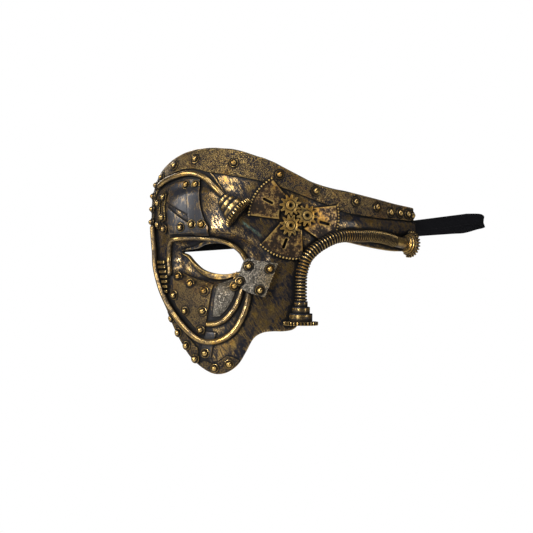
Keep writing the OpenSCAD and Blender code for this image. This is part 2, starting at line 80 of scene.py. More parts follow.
# ---- Sizes of the frame's pieces, in millimetres ----
HALF_W, HEAD_DEPTH, WRAP, ARM_L, ARM_BEND = 76.0, 95.0, 135.0, 75.0, 12.0
SOCKET_DEPTH, BROW_RISE, ARM_RIDGE = 6.0, 2.5, 2.0
ARM_END = WRAP + ARM_L
WALL, BAND_T, PLATE_T, LINK_T, CORNER_T, BED = 2.4, 1.2, 1.2, 1.0, 1.4, 0.4
BROW_R, EYE_R, EDGE_R, INNER_R, HOSE_R = 2.0, 1.7, 2.0, 1.8, 4.2
CORNER_H = 2 * EDGE_R + LINK_T - BED
HOSE_H = HOSE_R - BED
COLLAR_R, FLANGE_R, FLANGE_T, FLANGE_TEETH, UPPER_SHARE = 8.0, 12.0, 2.5, 30, 0.75
COLLAR_STEPS = [(0.58, 3.8), (0.78, 4.6), (1.0, 5.6)]
COLLAR_L = sum(length for _, length in COLLAR_STEPS)
UPPER_COLLAR_L = 3.6
LINK_W = 6.5
UPPER_LID_W, UPPER_LID_T, LOWER_LID_W, LOWER_LID_T = 2.4, 1.2, -4.0, 1.8
STAR_R, STAR_TEETH, STAR_T = (3.4, 2.1), 8, 1.6
FAN_HUB, FAN_R, BLADE_T, BLADE_TEETH = np.array([109.0, 32.0]), 31.0, 1.2, 14
BLADE_DIRS, BLADE_OUTER, BLADE_INNER, SLOT_AT, SLOT_L, SLOT_W = (151, -15, 251), 28.5, 43, 20.3, 7.5, 1.8
GEAR_R, GEAR_TEETH, TOOTH_L, TIP_GAP, GEAR_T, GEAR_BORE = 7.7, 11, 2.5, 1.0, 1.5, 2.0
GEAR_DIRS = (120, 0, 240)
GEAR_H = BAND_T + BLADE_T + 0.4
GEAR_ORBIT = (2 * GEAR_R - TOOTH_L + TIP_GAP) / math.sqrt(3)
FAN_INNER_R = GEAR_ORBIT + GEAR_BORE + 0.5
ELASTIC_W, ELASTIC_T, ELASTIC_REACH = 8.0, 1.2, 68.0

SHELL_LOW = [(-19, 47), (-17, 36), (-15, 25), (-15, 14), (-12, 0), (-6, -13), (1, -24), (11, -36),
             (21, -51), (31, -64), (41, -72), (51, -77), (59, -77.5), (66, -75), (72, -70), (77, -62),
             (82, -53), (88, -49), (95, -48), (102, -48), (109, -46.5), (113, -41), (114, -31), (114, -16),
             (115, -5), (118, 1.8), (122.5, 6.8), (129, 11.4), (138, 14.4), (149, 13.5), (160, 11.5),
             (176, 9), (192, 7.5), (ARM_END, 8)]
SHELL_TOP = [(-13, 61), (-6, 66), (2, 70), (8, 73), (14, 75.5), (20, 77), (26, 78.5), (32, 79), (39, 79.5),
             (46, 79.5), (53, 79), (60, 78.5), (66, 77.5), (72, 76), (77, 74.5), (82, 73), (86, 72),
             (90, 70.5), (94, 69), (98, 67), (101, 65.5), (104, 64), (107, 62.5), (110, 61), (113, 59.5),
             (116, 58), (120, 56), (127, 53.5), (137, 51), (147, 49.5), (160, 47), (176, 44), (192, 41),
             (ARM_END, 38.5)]
EYE_LOW = [(22, 6.4), (28, 4.5), (34, 0), (42, -5), (50, -7.5), (58, -8.5), (66, -8), (73, -6), (80, -1.6)]
EYE_TOP = [(22, 7.6), (27, 8.5), (36, 9.5), (44, 12), (53, 13), (63, 12), (71, 8.5), (76, 4), (80, -0.4)]
BAND_LOW = [(-9, 22), (-9, 36), (-10, 45), (-5, 53), (4, 59), (15, 62.5), (30, 64.5), (46, 62), (62, 60),
            (75, 58), (88, 55), (104, 50), (122, 43), (144, 35), (156, 33), (172, 31), (191, 30),
            (ARM_END - 1, 29)]
BAND_TOP = [(-13.5, 21), (-15.5, 36), (-17.5, 46.5), (-12, 60), (-1, 68), (11, 73.5), (24, 77), (42, 78.5),
            (60, 77.5), (76, 74), (91, 69.5), (107, 61.8), (121, 54.8), (140, 49.6), (156, 47), (172, 44),
            (191, 40.5), (ARM_END - 1, 38)]
BROW_LINE = [(-4, 53), (3, 56), (15, 59), (26, 61), (36, 60.5), (45, 57.5), (53, 52), (61, 45.5)]
BROW_ROD = [(47.5, 62), (52, 58), (57, 52.5), (61, 47.5)]
EYE_LINE = [(15.3, -8), (12.6, -1), (12.3, 3), (13.4, 8), (16, 13), (20, 15.5), (32, 16.5), (46, 16.5),
            (58, 15), (66, 12), (73, 7), (78, -1)]
EDGE_LINE = [(-6.5, 24), (-5, 16), (-3, 7), (-2, -2), (2, -11), (8, -21), (16, -31), (25, -40), (34, -48),
             (44, -54), (54, -55), (63, -52), (70, -46), (75, -37), (78, -28), (79, -19)]
INNER_LINE = [(50, -43), (56, -42.5), (62, -40), (67, -35), (71, -29), (75, -18)]
HOSE_LINE = [(112.3, -27), (112.3, -18), (112.6, -9), (114.2, -2.5), (116.4, 3), (121.3, 8.5), (128, 13.2),
             (136.1, 16.8), (146.3, 18), (157, 18), (167, 18), (177, 16.8), (187, 14.5)]
SLEEVE_END = (197.0, 13.0)
BAND_SPOTS = [(-11.5, 28), (-12, 37), (-14, 46), (-11, 53.5), (-4, 59), (11, 67), (32, 71), (65, 68),
              (98, 60), (123, 49), (154, 42), (173, 38.5)]
ARM_SPOTS = [(185.5, 35), (194.5, 34.5), (202.5, 34), (207, 33)]
STRAP_SPOTS = [(30, 53), (38.5, 53), (39.5, 26), (47, 26)]
LINK_SPOTS = [(-2, 41), (1, 26), (5.5, 45), (10, 31)]
PLATE_SPOTS = [(11.5, 23), (29.5, 24)]
CHEEK_SPOTS = [(23, -10), (35.5, -15), (47.5, -20), (20.5, -23), (31, -34), (46, -34), (44, -47)]
CORNER_SPOTS = [(79, -3), (92.5, -5), (86, -19.5), (73.3, -13.5)]
INSERT_SPOT, STAR_SPOT = (69.5, -16.5), (70.3, -9.8)
STRIP_SPOTS = [(17, -39), (23.5, -49), (31, -58), (38.5, -67)]
JAW_SPOTS = [(54, -73.3), (65, -70.5)]
JAW_STRAP_SPOT = (47, -63)
UNION_AT, UNION_TURN = (61, 43), -40
NEAR_SPOT, FAR_SPOT = (ARM_END - 5, 24.5), (-6, 9)


# ---- The skin ----
def unit(v):
    """The vectors at length 1."""
    return v / np.linalg.norm(v, axis=-1, keepdims=True)


def skin(s, z):
    """Places on the head form, in millimetres."""
    half_w = HALF_W - 0.0011 * np.maximum(0, z - 20) ** 2 - 0.0009 * np.maximum(0, -z - 10) ** 2
    front_y = 0.0042 * np.maximum(0, z - 25) ** 2 + 0.0006 * np.maximum(0, -z) ** 2
    turn = np.radians(90 * np.minimum(s, WRAP) / WRAP)
    past = np.maximum(0, s - WRAP)
    x = half_w * np.sin(turn) - ARM_BEND * (past / ARM_L) ** 2
    y = HEAD_DEPTH - (HEAD_DEPTH - front_y) * np.cos(turn) + past
    return np.stack([x, y, z + 0 * s], -1)


def normal(s, z):
    """Directions straight off the head form."""
    return unit(np.cross(skin(s + 0.1, z) - skin(s - 0.1, z), skin(s, z + 0.1) - skin(s, z - 0.1)))


def ease(t):
    """0 below 0, 1 above 1, smooth between."""
    c = np.clip(t, 0, 1)
    return c * c * (3 - 2 * c)


def bump(s, z, mid, size):
    """An oval rise round a middle: 1 inside, 0 outside, smooth between."""
    return ease(1.6 * (1 - ((s - mid[0]) / size[0]) ** 2 - ((z - mid[1]) / size[1]) ** 2))


def relief(s, z):
    """How far the shell stands off the head form: brow, eye socket and the arm's ridge."""
    ridge = ARM_RIDGE * ease((s - WRAP) / 20) * ease(1.4 - np.abs(z - (27 - 0.05 * (s - WRAP))) / 5)
    return (BROW_RISE * bump(s, z, (42, 32), (46, 22))
            - (SOCKET_DEPTH + BROW_RISE / 2) * bump(s, z, (51, 2), (44, 20)) + ridge)


def at(p, h):
    """Places h above the shell."""
    p = np.asarray(p, float)
    s, z = p[..., 0], p[..., 1]
    return skin(s, z) + (relief(s, z) + h)[..., None] * normal(s, z)


def spot(p, h=0.0):
    """One place h above the shell."""
    return at(np.array([p[:2]], float), np.array([h]))[0]


def stand(p, h=0.0, spin=0.0):
    """Origin and axes of a piece that stands on the skin: X runs with s, Y with z, Z off the skin."""
    n = normal(np.array(float(p[0])), np.array(float(p[1])))
    turn = (Matrix.Rotation(math.atan2(n[1], n[0]), 3, "Z") @ Matrix.Rotation(math.acos(n[2]), 3, "Y")
            @ Matrix.Rotation(math.radians(90 + spin), 3, "Z"))
    return spot(p, h), np.array(turn)


def curve(points, k):
    """A smooth line through points, with k steps between two of them."""
    p = np.asarray(points, float)
    out = []
    for i in range(len(p) - 1):
        a, b, c, d = p[max(i - 1, 0)], p[i], p[i + 1], p[min(i + 2, len(p) - 1)]
        for j in range(k):
            t = j / k
            out.append(0.5 * (2 * b + t * (c - a) + t * t * (2 * a - 5 * b + 4 * c - d)
                              + t ** 3 * (3 * b - a - 3 * c + d)))
    return np.array(out + [p[-1]])


def ruled(low, top, k):
    """Outline between a low and a top edge."""
    return np.concatenate([curve(low, k), curve(top, k)[::-1]])


# ---- Solids ----
class Shape:
    """Points in millimetres, faces, and marks on the points that the paint reads."""

    def __init__(self, points, faces, **marks):
        self.points = np.asarray(points, float)
        self.faces = [tuple(int(i) for i in f) for f in faces]
        self.marks = {key: np.broadcast_to(np.asarray(v, float), len(self.points))
                      for key, v in marks.items()}

    def __add__(self, other):
        shift = len(self.points)
        joined = Shape(np.concatenate([self.points, other.points]),
                       self.faces + [tuple(i + shift for i in f) for f in other.faces])
        for key in set(self.marks) | set(other.marks):
            joined.marks[key] = np.concatenate([s.marks.get(key, np.zeros(len(s.points)))
                                                for s in (self, other)])
        return joined

    def moved(self, place):
        """The shape at a place, an (origin, axes) pair."""
        origin, turn = place
        return Shape(origin + self.points @ turn.T, self.faces, **self.marks)

    def laid(self, p, h, turn):
        """Turned so that its Z runs along the skin, h off it."""
        x, y, z = self.points.T
        turned = Shape(np.stack([z, y, h - x], -1), self.faces, **self.marks)
        return turned.cut_back().moved(stand(p, 0, turn))

    def cut_back(self):
        """Gives the shape a flat back, bedded in the skin."""
        work = bmesh.new()
        for key in self.marks:
            work.verts.layers.float.new(key)
        layers = {key: work.verts.layers.float[key] for key in self.marks}
        verts = [work.verts.new(p) for p in self.points]
        for i, v in enumerate(verts):
            for key, layer in layers.items():
                v[layer] = self.marks[key][i]
        for f in self.faces:
            work.faces.new([verts[i] for i in f])
        cut = bmesh.ops.bisect_plane(work, geom=work.verts[:] + work.edges[:] + work.faces[:], dist=1e-5,
                                     plane_co=(0, 0, -BED), plane_no=(0, 0, 1), clear_inner=True)
        bmesh.ops.holes_fill(work, edges=[e for e in cut["geom_cut"] if isinstance(e, bmesh.types.BMEdge)])
        bmesh.ops.recalc_face_normals(work, faces=work.faces[:])
        work.verts.index_update()
        made = Shape([v.co[:] for v in work.verts], [[v.index for v in f.verts] for f in work.faces],
                     **{key: [v[layer] for v in work.verts] for key, layer in layers.items()})
        work.free()
        return made

    def mesh(self, name):
        """The shape as a mesh in metres, with its marks as attributes."""
        made = bpy.data.meshes.new(name)
        made.from_pydata((self.points * MM).tolist(), [], self.faces)
        for key, values in self.marks.items():
            layer = made.attributes.new(key, "FLOAT", "POINT")
            layer.data.foreach_set("value", np.asarray(values, np.float32))
        made.shade_smooth()
        made.set_sharp_from_angle(angle=SHARP_ANGLE)
        made.update()
        return made


def stretch_out(loop, step):
    """The loop with more points along its longer sides."""
    out = []
    for a, b in zip(loop, np.roll(loop, -1, 0)):
        n = max(1, round(float(np.linalg.norm(b - a)) / step))
        out += [a + (b - a) * i / n for i in range(n)]
    return np.array(out)


def area(loop):
    """The loop's area, positive if it runs anticlockwise."""
    x, y = loop.T
    return 0.5 * float(np.sum(x * np.roll(y, -1) - np.roll(x, -1) * y))


def inset(loop, d):
    """The loop moved inwards by d."""
    leaving = unit(np.roll(loop, -1, 0) - loop)
    n = np.stack([-leaving[:, 1], leaving[:, 0]], -1)
    m = np.roll(n, 1, 0)
    return loop + d * (n + m) / np.maximum(0.6, 1 + np.sum(n * m, -1))[:, None]


def inside(points, loops):
    """Which points an odd number of loops surround."""
    hit = np.zeros(len(points), bool)
    y = points[:, 1:2]
    for loop in loops:
        a, b = loop, np.roll(loop, -1, 0)
        rise = np.where(b[:, 1] == a[:, 1], 1e-9, b[:, 1] - a[:, 1])
        crossing = (b[:, 0] - a[:, 0]) * (y - a[:, 1]) / rise + a[:, 0]
        hit ^= np.sum(((a[:, 1] > y) != (b[:, 1] > y)) & (points[:, :1] < crossing), 1) % 2 == 1
    return hit


def border_distance(points, loops):
    """How far each point lies from the nearest side of a loop."""
    far = np.full(len(points), 1e9)
    for loop in loops:
        a, d = loop, np.roll(loop, -1, 0) - loop
        length = np.maximum(1e-12, np.sum(d * d, -1))
        for start in range(0, len(points), 2000):
            p = points[start:start + 2000, None]
            t = np.clip(np.sum((p - a) * d, -1) / length, 0, 1)
            near = np.linalg.norm(p - a - t[..., None] * d, axis=-1).min(1)
            far[start:start + 2000] = np.minimum(far[start:start + 2000], near)
    return far


def fill(loops, step):
    """Points inside the loops, and triangles over loops and points, numbered loops first."""
    low, high = loops[0].min(0), loops[0].max(0)
    rows = np.arange(low[1] + step / 3, high[1], step * 0.866)
    points = []
    for i, y in enumerate(rows):
        x = np.arange(low[0] + (i % 2) * step / 2, high[0], step)
        points.append(np.stack([x, np.full(len(x), y)], -1))
    points = np.concatenate(points)
    points = points[inside(points, loops)]
    if len(points):
        points = points[border_distance(points, loops) > step * 0.45]
    everything = np.concatenate([*loops, points])
    sides, start = [], 0
    for loop in loops:
        sides += [(start + i, start + (i + 1) % len(loop)) for i in range(len(loop))]
        start += len(loop)
    _, _, faces, origins, _, _ = delaunay_2d_cdt([Vector(p) for p in everything], sides, [], 0, 1e-6)
    source = [o[0] if o else -1 for o in origins]
    triangles = np.array([[source[i] for i in f] for f in faces if len(f) == 3])
    triangles = triangles[(triangles >= 0).all(1)]
    corners = everything[triangles]
    keep = inside(corners.mean(1), loops)
    a, b = corners[:, 1] - corners[:, 0], corners[:, 2] - corners[:, 0]
    turned = a[:, 0] * b[:, 1] - a[:, 1] * b[:, 0]
    triangles[turned < 0] = triangles[turned < 0][:, ::-1]
    return points, triangles[keep & (np.abs(turned) > 1e-9)]


def panel(outline, low, high, holes=(), step=1.5, edge=1.0, soften=0.35, under=0.0, form=None, place=at):
    """A closed plate with softened edges over an outline, from height low to height high.

    form(points, distance from the border) is added to the top.
    """
    loops = [stretch_out(np.asarray(loop, float), edge) for loop in (outline, *holes)]
    loops = [loop if (area(loop) > 0) == (i == 0) else loop[::-1] for i, loop in enumerate(loops)]
    flat, drop, rings, start = [], [], [], 0
    for loop in loops:
        rows = []
        for turn in np.radians([0, 30, 60, 90]):
            flat.append(inset(loop, soften * (1 - math.cos(turn))))
            drop.append(np.full(len(loop), soften * (1 - math.sin(turn))))
            rows.append(start + np.arange(len(loop)))
            start += len(loop)
        rings.append(rows)
    inner = [flat[4 * i + 3] for i in range(len(loops))]
    points, triangles = fill(inner, step)
    numbers = np.concatenate([rows[3] for rows in rings] + [start + np.arange(len(points))])
    flat, drop = np.concatenate(flat + [points]), np.concatenate(drop + [np.zeros(len(points))])
    count = len(flat)
    far = border_distance(flat, loops)
    top = high - drop + (form(flat, far) if form else 0)
    faces = [tuple(f) for f in numbers[triangles]]
    for rows in rings:
        for a, b in zip(rows, rows[1:]):
            faces += list(zip(a, np.roll(a, -1), np.roll(b, -1), b))
    faces += [tuple(i + count for i in f[::-1]) for f in faces]
    for rows in rings:
        a = rows[0]
        faces += list(zip(a + count, np.roll(a, -1) + count, np.roll(a, -1), a))
    points = np.concatenate([place(flat, top), place(flat, low + drop * under / soften)])
    rim = np.exp(-far / 0.55)
    return Shape(points, faces, rim=np.concatenate([rim, 0.25 * rim]))


def level(q, up):
    """The points of a flat outline, raised to height up."""
    return np.stack([q[:, 0], q[:, 1], up + 0 * q[:, 0]], -1)


def sweep(path, ups, section, cap=0.0):
    """A closed bar along a path, its section turned to ups, with round ends where cap is its radius."""
    path, ups, section = (np.asarray(v, float) for v in (path, ups, section))
    along = unit(np.gradient(path, axis=0))
    size = np.ones(len(path))
    if cap:
        turns = np.radians([75, 50, 25])
        first = path[0] - along[0] * cap * np.sin(turns)[:, None]
        last = path[-1] + along[-1] * cap * np.sin(turns[::-1])[:, None]
        path = np.concatenate([first, path, last])
        size = np.concatenate([np.cos(turns), size, np.cos(turns[::-1])])
        along = np.concatenate([np.repeat(along[:1], 3, 0), along, np.repeat(along[-1:], 3, 0)])
        ups = np.concatenate([np.repeat(ups[:1], 3, 0), ups, np.repeat(ups[-1:], 3, 0)])
    a = unit(np.cross(along, ups))
    b = np.cross(a, along)
    points = (path[:, None] + size[:, None, None]
              * (section[None, :, :1] * a[:, None] + section[None, :, 1:] * b[:, None])).reshape(-1, 3)
    n, m = len(path), len(section)
    faces = []
    for i in range(n - 1):
        for j in range(m):
            k = (j + 1) % m
            faces.append((i * m + j, (i + 1) * m + j, (i + 1) * m + k, i * m + k))
    faces += [tuple(range(m)), tuple((n - 1) * m + j for j in range(m - 1, -1, -1))]
    half = np.abs(section[:, 1]).max()
    top = np.tile(section[:, 1] / half, n)
    reach = np.concatenate([[0], np.cumsum(np.linalg.norm(np.diff(path, axis=0), axis=1))])
    # The rim mark lightens the bar's side away from the skin: a painted highlight along its top, over the
    # brushed colour.
    return Shape(points, faces, rim=0.5 * np.clip(top, 0, 1) ** 3, across=np.tile(section[:, 0], n),
                 along=np.repeat(reach, m))


def circle(r, sides):
    """A round section."""
    turn = np.arange(sides) * 2 * math.pi / sides
    return r * np.stack([np.cos(turn), np.sin(turn)], -1)


def pipe(line, r, h, sides=20, cap=True):
    """A round bar along a line on the skin, its axis h off it."""
    c = curve(line, PIPE_STEPS)
    return sweep(at(c, h), normal(c[:, 0], c[:, 1]), circle(r, sides), cap=r if cap else 0)


def lathe(profile, sides=28, rims=None):
    """A turned solid from (radius, height) pairs, from the bottom of its axis to the top."""
    turn = np.arange(sides) * 2 * math.pi / sides
    points, rows, marks = [], [], []
    rims = rims or [0.0] * len(profile)
    for (r, z), rim in zip(profile, rims):
        if r < 1e-6:
            rows.append([len(points)] * sides)
            points.append((0, 0, z))
            marks.append(rim)
        else:
            rows.append(list(range(len(points), len(points) + sides)))
            points += [(r * math.cos(t), r * math.sin(t), z) for t in turn]
            marks += [rim] * sides
    faces = []
    for a, b in zip(rows, rows[1:]):
        for j in range(sides):
            k = (j + 1) % sides
            face = []
            for i in (a[j], a[k], b[k], b[j]):
                if i not in face:
                    face.append(i)
            faces.append(face)
    return Shape(points, faces, rim=marks)


# ---- Node graphs, written as expressions ----
class Wire:
    """An output socket that adds up, multiplies and compares as a number does."""

    def __init__(self, graph, socket):
        self.graph, self.socket = graph, socket

    def _math(self, operation, *others, clamp=False):
        values = dict(enumerate([self, *others]))
        return self.graph.node("ShaderNodeMath", values, operation=operation, use_clamp=clamp)

    def __add__(self, other):
        return self._math("ADD", other)

    def __sub__(self, other):
        return self._math("SUBTRACT", other)

    def __mul__(self, other):
        return self._math("MULTIPLY", other)

    def __pow__(self, other):
        return self._math("POWER", other)

    def __rsub__(self, other):
        return self.graph.node("ShaderNodeMath", {0: other, 1: self}, operation="SUBTRACT")

    __radd__, __rmul__ = __add__, __mul__

    def clamp(self):
        """The value, kept between 0 and 1."""
        return self._math("ADD", 0.0, clamp=True)


class Graph:
    """A node tree, filled with one call for each node."""

    def __init__(self, tree):
        self.tree = tree
        tree.nodes.clear()

    def node(self, kind, sockets=None, out=0, **settings):
        """One node: its settings first, then the values or wires of its sockets."""
        made = self.tree.nodes.new(kind)
        for key, value in settings.items():
            setattr(made, key, value)
        for key, value in (sockets or {}).items():
            if isinstance(value, Wire):
                self.tree.links.new(value.socket, made.inputs[key])
            else:
                made.inputs[key].default_value = value
        return Wire(self, made.outputs[out]) if made.outputs else made

    def mix(self, a, b, share):
        """Colour a where share is 0, b where it is 1."""
        return self.node("ShaderNodeMix", {"Factor": share, 6: a, 7: b}, out=2, data_type="RGBA",
                         clamp_factor=True)

    def noise(self, vector, scale, detail=3.0, rough=0.55, bend=0.0):
        """A cloudy pattern round 0.5."""
        return self.node("ShaderNodeTexNoise", {"Vector": vector, "Scale": scale, "Detail": detail,
                                                "Roughness": rough, "Distortion": bend})

    def steps(self, value, low, high):
        """0 below low, 1 above high, smooth between."""
        return self.node("ShaderNodeMapRange", {"Value": value, "From Min": low, "From Max": high},
                         interpolation_type="SMOOTHSTEP")


def rgba(colour):
    """The colour, not see-through."""
    return (*colour, 1.0)


def tone(colour, share):
    """The colour, made darker or lighter."""
    return tuple(share * c for c in colour)


class Paint(Graph):
    """A material whose patterns are laid out in millimetres of the object's own space."""

    def __init__(self, name):
        self.material = bpy.data.materials.new(name)
        self.material.use_nodes = True
        super().__init__(self.material.node_tree)
        place = self.node("ShaderNodeTexCoord", out=3)
        self.place = self.node("ShaderNodeVectorMath", {0: place, "Scale": 1000.0}, operation="SCALE")
        self.rim, self.nook = self.mark("rim"), self.mark("nook")

    def mark(self, name):
        """A mark that the shape's points carry."""
        return self.node("ShaderNodeAttribute", out=2, attribute_name=name, attribute_type="GEOMETRY")

    def stretched(self, scale, turn=(0.0, 0.0, 0.0)):
        """The object's space, turned and squeezed for brush strokes."""
        return self.node("ShaderNodeMapping", {"Vector": self.place, "Rotation": turn,
                                               "Scale": tuple(1 / v for v in scale)}, vector_type="TEXTURE")

    def cells(self, scale):
        """An embossed grain: rounded cells with hollows between them, 0 in the hollows."""
        waves = self.node("ShaderNodeTexNoise", {"Vector": self.place, "Scale": 0.7}, out=1)
        shift = self.node("ShaderNodeVectorMath", {0: waves, "Scale": 0.35}, operation="SCALE")
        bent = self.node("ShaderNodeVectorMath", {0: self.place, 1: shift}, operation="ADD")
        return self.node("ShaderNodeTexVoronoi", {"Vector": bent, "Scale": scale},
                         feature="DISTANCE_TO_EDGE")

    def shine(self, colour, metallic, roughness, height=None, depth=0.1, specular=0.5):
        """Ends the material: its surface, embossed by height over a depth in millimetres."""
        sockets = {"Base Color": colour, "Metallic": metallic, "Roughness": roughness,
                   "Specular IOR Level": specular}
        if height is not None:
            sockets["Normal"] = self.node("ShaderNodeBump", {"Strength": 1.0, "Distance": depth * MM,
                                                             "Height": height})
        shader = self.node("ShaderNodeBsdfPrincipled", sockets)
        self.node("ShaderNodeOutputMaterial", {"Surface": shader})
        return self.material


def aged_paint(name, dark, mid, bright, cover=0.5, streak=(0.35, 0.35, 0.12), turn=(0.0, 0.0, 0.0),
               grain=0.0, depth=0.12, rough=(0.42, 0.3), metal=0.9, rim=0.7, hollow_wash_and_shade=1.0, patch=0.16, vary=1.0,
               gloss=0.18, tint=None):
    """Near-black paint, dry-brushed with metal colour on what stands up and left dark in the hollows; the
    marks add painted highlights on raised tops and painted shade in the hollows.
    """
    p = Paint(name)
    broad = p.noise(p.place, 0.045, 2.0)
    mottle = p.noise(p.place, patch, 5.0, 0.6, 0.6)
    strokes = p.noise(p.stretched(streak, turn), 1.0, 4.0, 0.65)
    specks = p.noise(p.place, 1.5, 2.0, 0.6)
    # How far the brushed colour reaches: wear, plus painted highlights from the rim mark on the tops of
    # pipes, rivets and rings, less painted shade from the nook mark in the hollows.
    wear_and_painted_light = ((broad - 0.5) * (1.8 * vary) + (mottle - 0.5) * (3.2 * vary) + (strokes - 0.5) * (3.4 * vary)
            + (specks - 0.5) * 1.6 + p.rim * rim - p.nook * (1.6 * hollow_wash_and_shade) + (cover - 0.5) * 2)
    height = specks * 0.25 + strokes * 0.3
    if grain:
        cells = p.steps(p.cells(grain), 0.0, 0.28)
        wear_and_painted_light = wear_and_painted_light + (cells - 0.6) * 1.5
        height = height + cells * 1.4
    share = p.steps(wear_and_painted_light, -0.3, 0.25)
    lit = p.steps(wear_and_painted_light, 0.1, 0.75)
    deep = rgba(tuple(k * c for k, c in zip((0.85, 0.68, 0.4), bright)))
    base = p.mix(rgba(dark), rgba(mid), share)
    brushed = p.mix(rgba(bright), deep, p.steps(broad, 0.5, 0.68))
    colour = p.mix(base, brushed, lit)
    if tint:
        colour = tint(p, colour)
    # Painted shade in the hollows and round the rivets, together with the paint's black wash there, mixed in
    # as near black.
    wash_and_shade_share = p.steps(p.nook, 0.04, 0.26)
    colour = p.mix(colour, WASH_AND_SHADE_BLACK, (wash_and_shade_share * (0.9 * hollow_wash_and_shade)).clamp())
    roughness = rough[0] + (rough[1] - rough[0]) * share + 0.12 * (specks - 0.5) + 0.2 * wash_and_shade_share
    return p.shine(colour, (share * metal) * (1 - wash_and_shade_share * 0.6), roughness, height, depth, specular=gloss)


# ---- Repeated pieces, made by geometry nodes ----
def group_socket(tree, name, kind, into=True, value=None):
    """A named input or output of a node group."""
    made = tree.interface.new_socket(name, in_out="INPUT" if into else "OUTPUT", socket_type=kind)
    if value is not None:
        made.default_value = value
    return made


def repeat_group():
    """Sets a piece at every point, turned by the point's "turn" and sized by its "size"."""
    name = "Repeat at points"
    if name in bpy.data.node_groups:
        return bpy.data.node_groups[name]
    tree = bpy.data.node_groups.new(name, "GeometryNodeTree")
    group_socket(tree, "Points", "NodeSocketGeometry")
    group_socket(tree, "Piece", "NodeSocketObject")
    group_socket(tree, "Spin", "NodeSocketFloat", value=0.0)
    group_socket(tree, "Size Spread", "NodeSocketFloat", value=0.0)
    group_socket(tree, "Seed", "NodeSocketInt", value=7)
    group_socket(tree, "Paint", "NodeSocketMaterial")
    group_socket(tree, "Pieces", "NodeSocketGeometry", into=False)
    g = Graph(tree)
    inputs = tree.nodes.new("NodeGroupInput")

    def given(key):
        """One of the group's inputs."""
        return Wire(g, inputs.outputs[key])

    piece = g.node("GeometryNodeObjectInfo", {"Object": given("Piece")}, out="Geometry")
    turn = g.node("GeometryNodeInputNamedAttribute", {"Name": "turn"}, data_type="FLOAT_VECTOR")
    size = g.node("GeometryNodeInputNamedAttribute", {"Name": "size"}, data_type="FLOAT_VECTOR")
    spread = given("Size Spread")
    swing = g.node("FunctionNodeRandomValue", {2: 1 - spread, 3: 1 + spread, "Seed": given("Seed")}, out=1,
                   data_type="FLOAT")
    scale = g.node("ShaderNodeVectorMath", {0: size, "Scale": swing}, operation="SCALE")
    placed = g.node("GeometryNodeInstanceOnPoints", {"Points": given("Points"), "Instance": piece,
                                                     "Rotation": turn, "Scale": scale})
    spin = g.node("FunctionNodeRandomValue", {2: 0.0 - given("Spin"), 3: given("Spin"),
                                              "Seed": given("Seed") + 1}, out=1, data_type="FLOAT")
    about = g.node("ShaderNodeCombineXYZ", {"Z": spin})
    turned = g.node("GeometryNodeRotateInstances", {"Instances": placed, "Rotation": about})
    real = g.node("GeometryNodeRealizeInstances", {"Geometry": turned})
    painted = g.node("GeometryNodeSetMaterial", {"Geometry": real, "Material": given("Paint")})
    g.node("NodeGroupOutput", {"Pieces": painted})
    return tree


def repeated(name, shape, places, paint, sizes=None, spin=0.0, spread=0.0, seed=7):
    """A plain mesh of the shape set at every place, an (origin, axes) pair."""
    tree = repeat_group()
    source = bpy.data.objects.new(name + "_one", shape.mesh(name + "_one"))
    points = bpy.data.meshes.new(name)
    points.from_pydata([(origin * MM).tolist() for origin, _ in places], [], [])
    turns = [tuple(Matrix(turn.tolist()).to_euler()) for _, turn in places]
    sizes = np.ones((len(places), 3)) if sizes is None else np.asarray(sizes, float)
    points.attributes.new("turn", "FLOAT_VECTOR", "POINT").data.foreach_set("vector", np.ravel(turns))
    points.attributes.new("size", "FLOAT_VECTOR", "POINT").data.foreach_set("vector", sizes.ravel())
    holder = bpy.data.objects.new(name, points)
    for obj in (source, holder):
        bpy.context.scene.collection.objects.link(obj)
    modifier = holder.modifiers.new("Repeat", "NODES")
    modifier.node_group = tree
    keys = {item.name: item.identifier for item in tree.interface.items_tree if item.in_out == "INPUT"}
    for key, value in (("Piece", source), ("Spin", math.radians(spin)), ("Size Spread", spread),
                       ("Seed", seed), ("Paint", paint)):
        modifier[keys[key]] = value
    bpy.context.view_layer.update()
    mesh = bpy.data.meshes.new_from_object(holder.evaluated_get(bpy.context.evaluated_depsgraph_get()))
    bpy.data.objects.remove(holder)
    bpy.data.objects.remove(source)
    for key in ("turn", "size"):
        if key in mesh.attributes:
            mesh.attributes.remove(mesh.attributes[key])
    mesh.name = name
    return mesh


def merged(first, second):
    """Puts the first mesh's faces before the second's, and shades the two as one piece."""
    host = bmesh.new()
    host.from_mesh(first)
    host.from_mesh(second)
    host.to_mesh(second)
    host.free()
    second.shade_smooth()
    second.set_sharp_from_angle(angle=SHARP_ANGLE)
    return second


# ---- Handing pieces to the frame ----
PIECES = []  # every object handed to the frame
SEATS = []  # where the rivets stand
SEAT_SHADE, SEAT_REACH, SEAT_FADE = 0.35, 4.2, 1.1  # the painted shade round a rivet: how dark, how far, how soft


def piece(name, mesh, slot, *nodes):
    """Makes a finished piece of a mesh or shape, in its slot's paint, standing for the frame's nodes."""
    if isinstance(mesh, Shape):
        mesh = mesh.mesh(name)
    if not len(mesh.polygons):
        raise RuntimeError(f"{name} has no faces")
    obj = bpy.data.objects.new(name, mesh)
    bpy.context.scene.collection.objects.link(obj)
    mesh.materials.clear()
    mesh.materials.append(paint(slot))
    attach(obj, BODY)
    if nodes:
        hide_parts(*nodes)
    PIECES.append(obj)


def plate(name, slot, node, low_edge, top_edge, k, high=PLATE_T, low=-BED, **sizes):
    """A piece that lies on the skin between two edges, from height low to height high."""
    piece(name, panel(ruled(low_edge, top_edge, k), low, high, **sizes), slot, node)


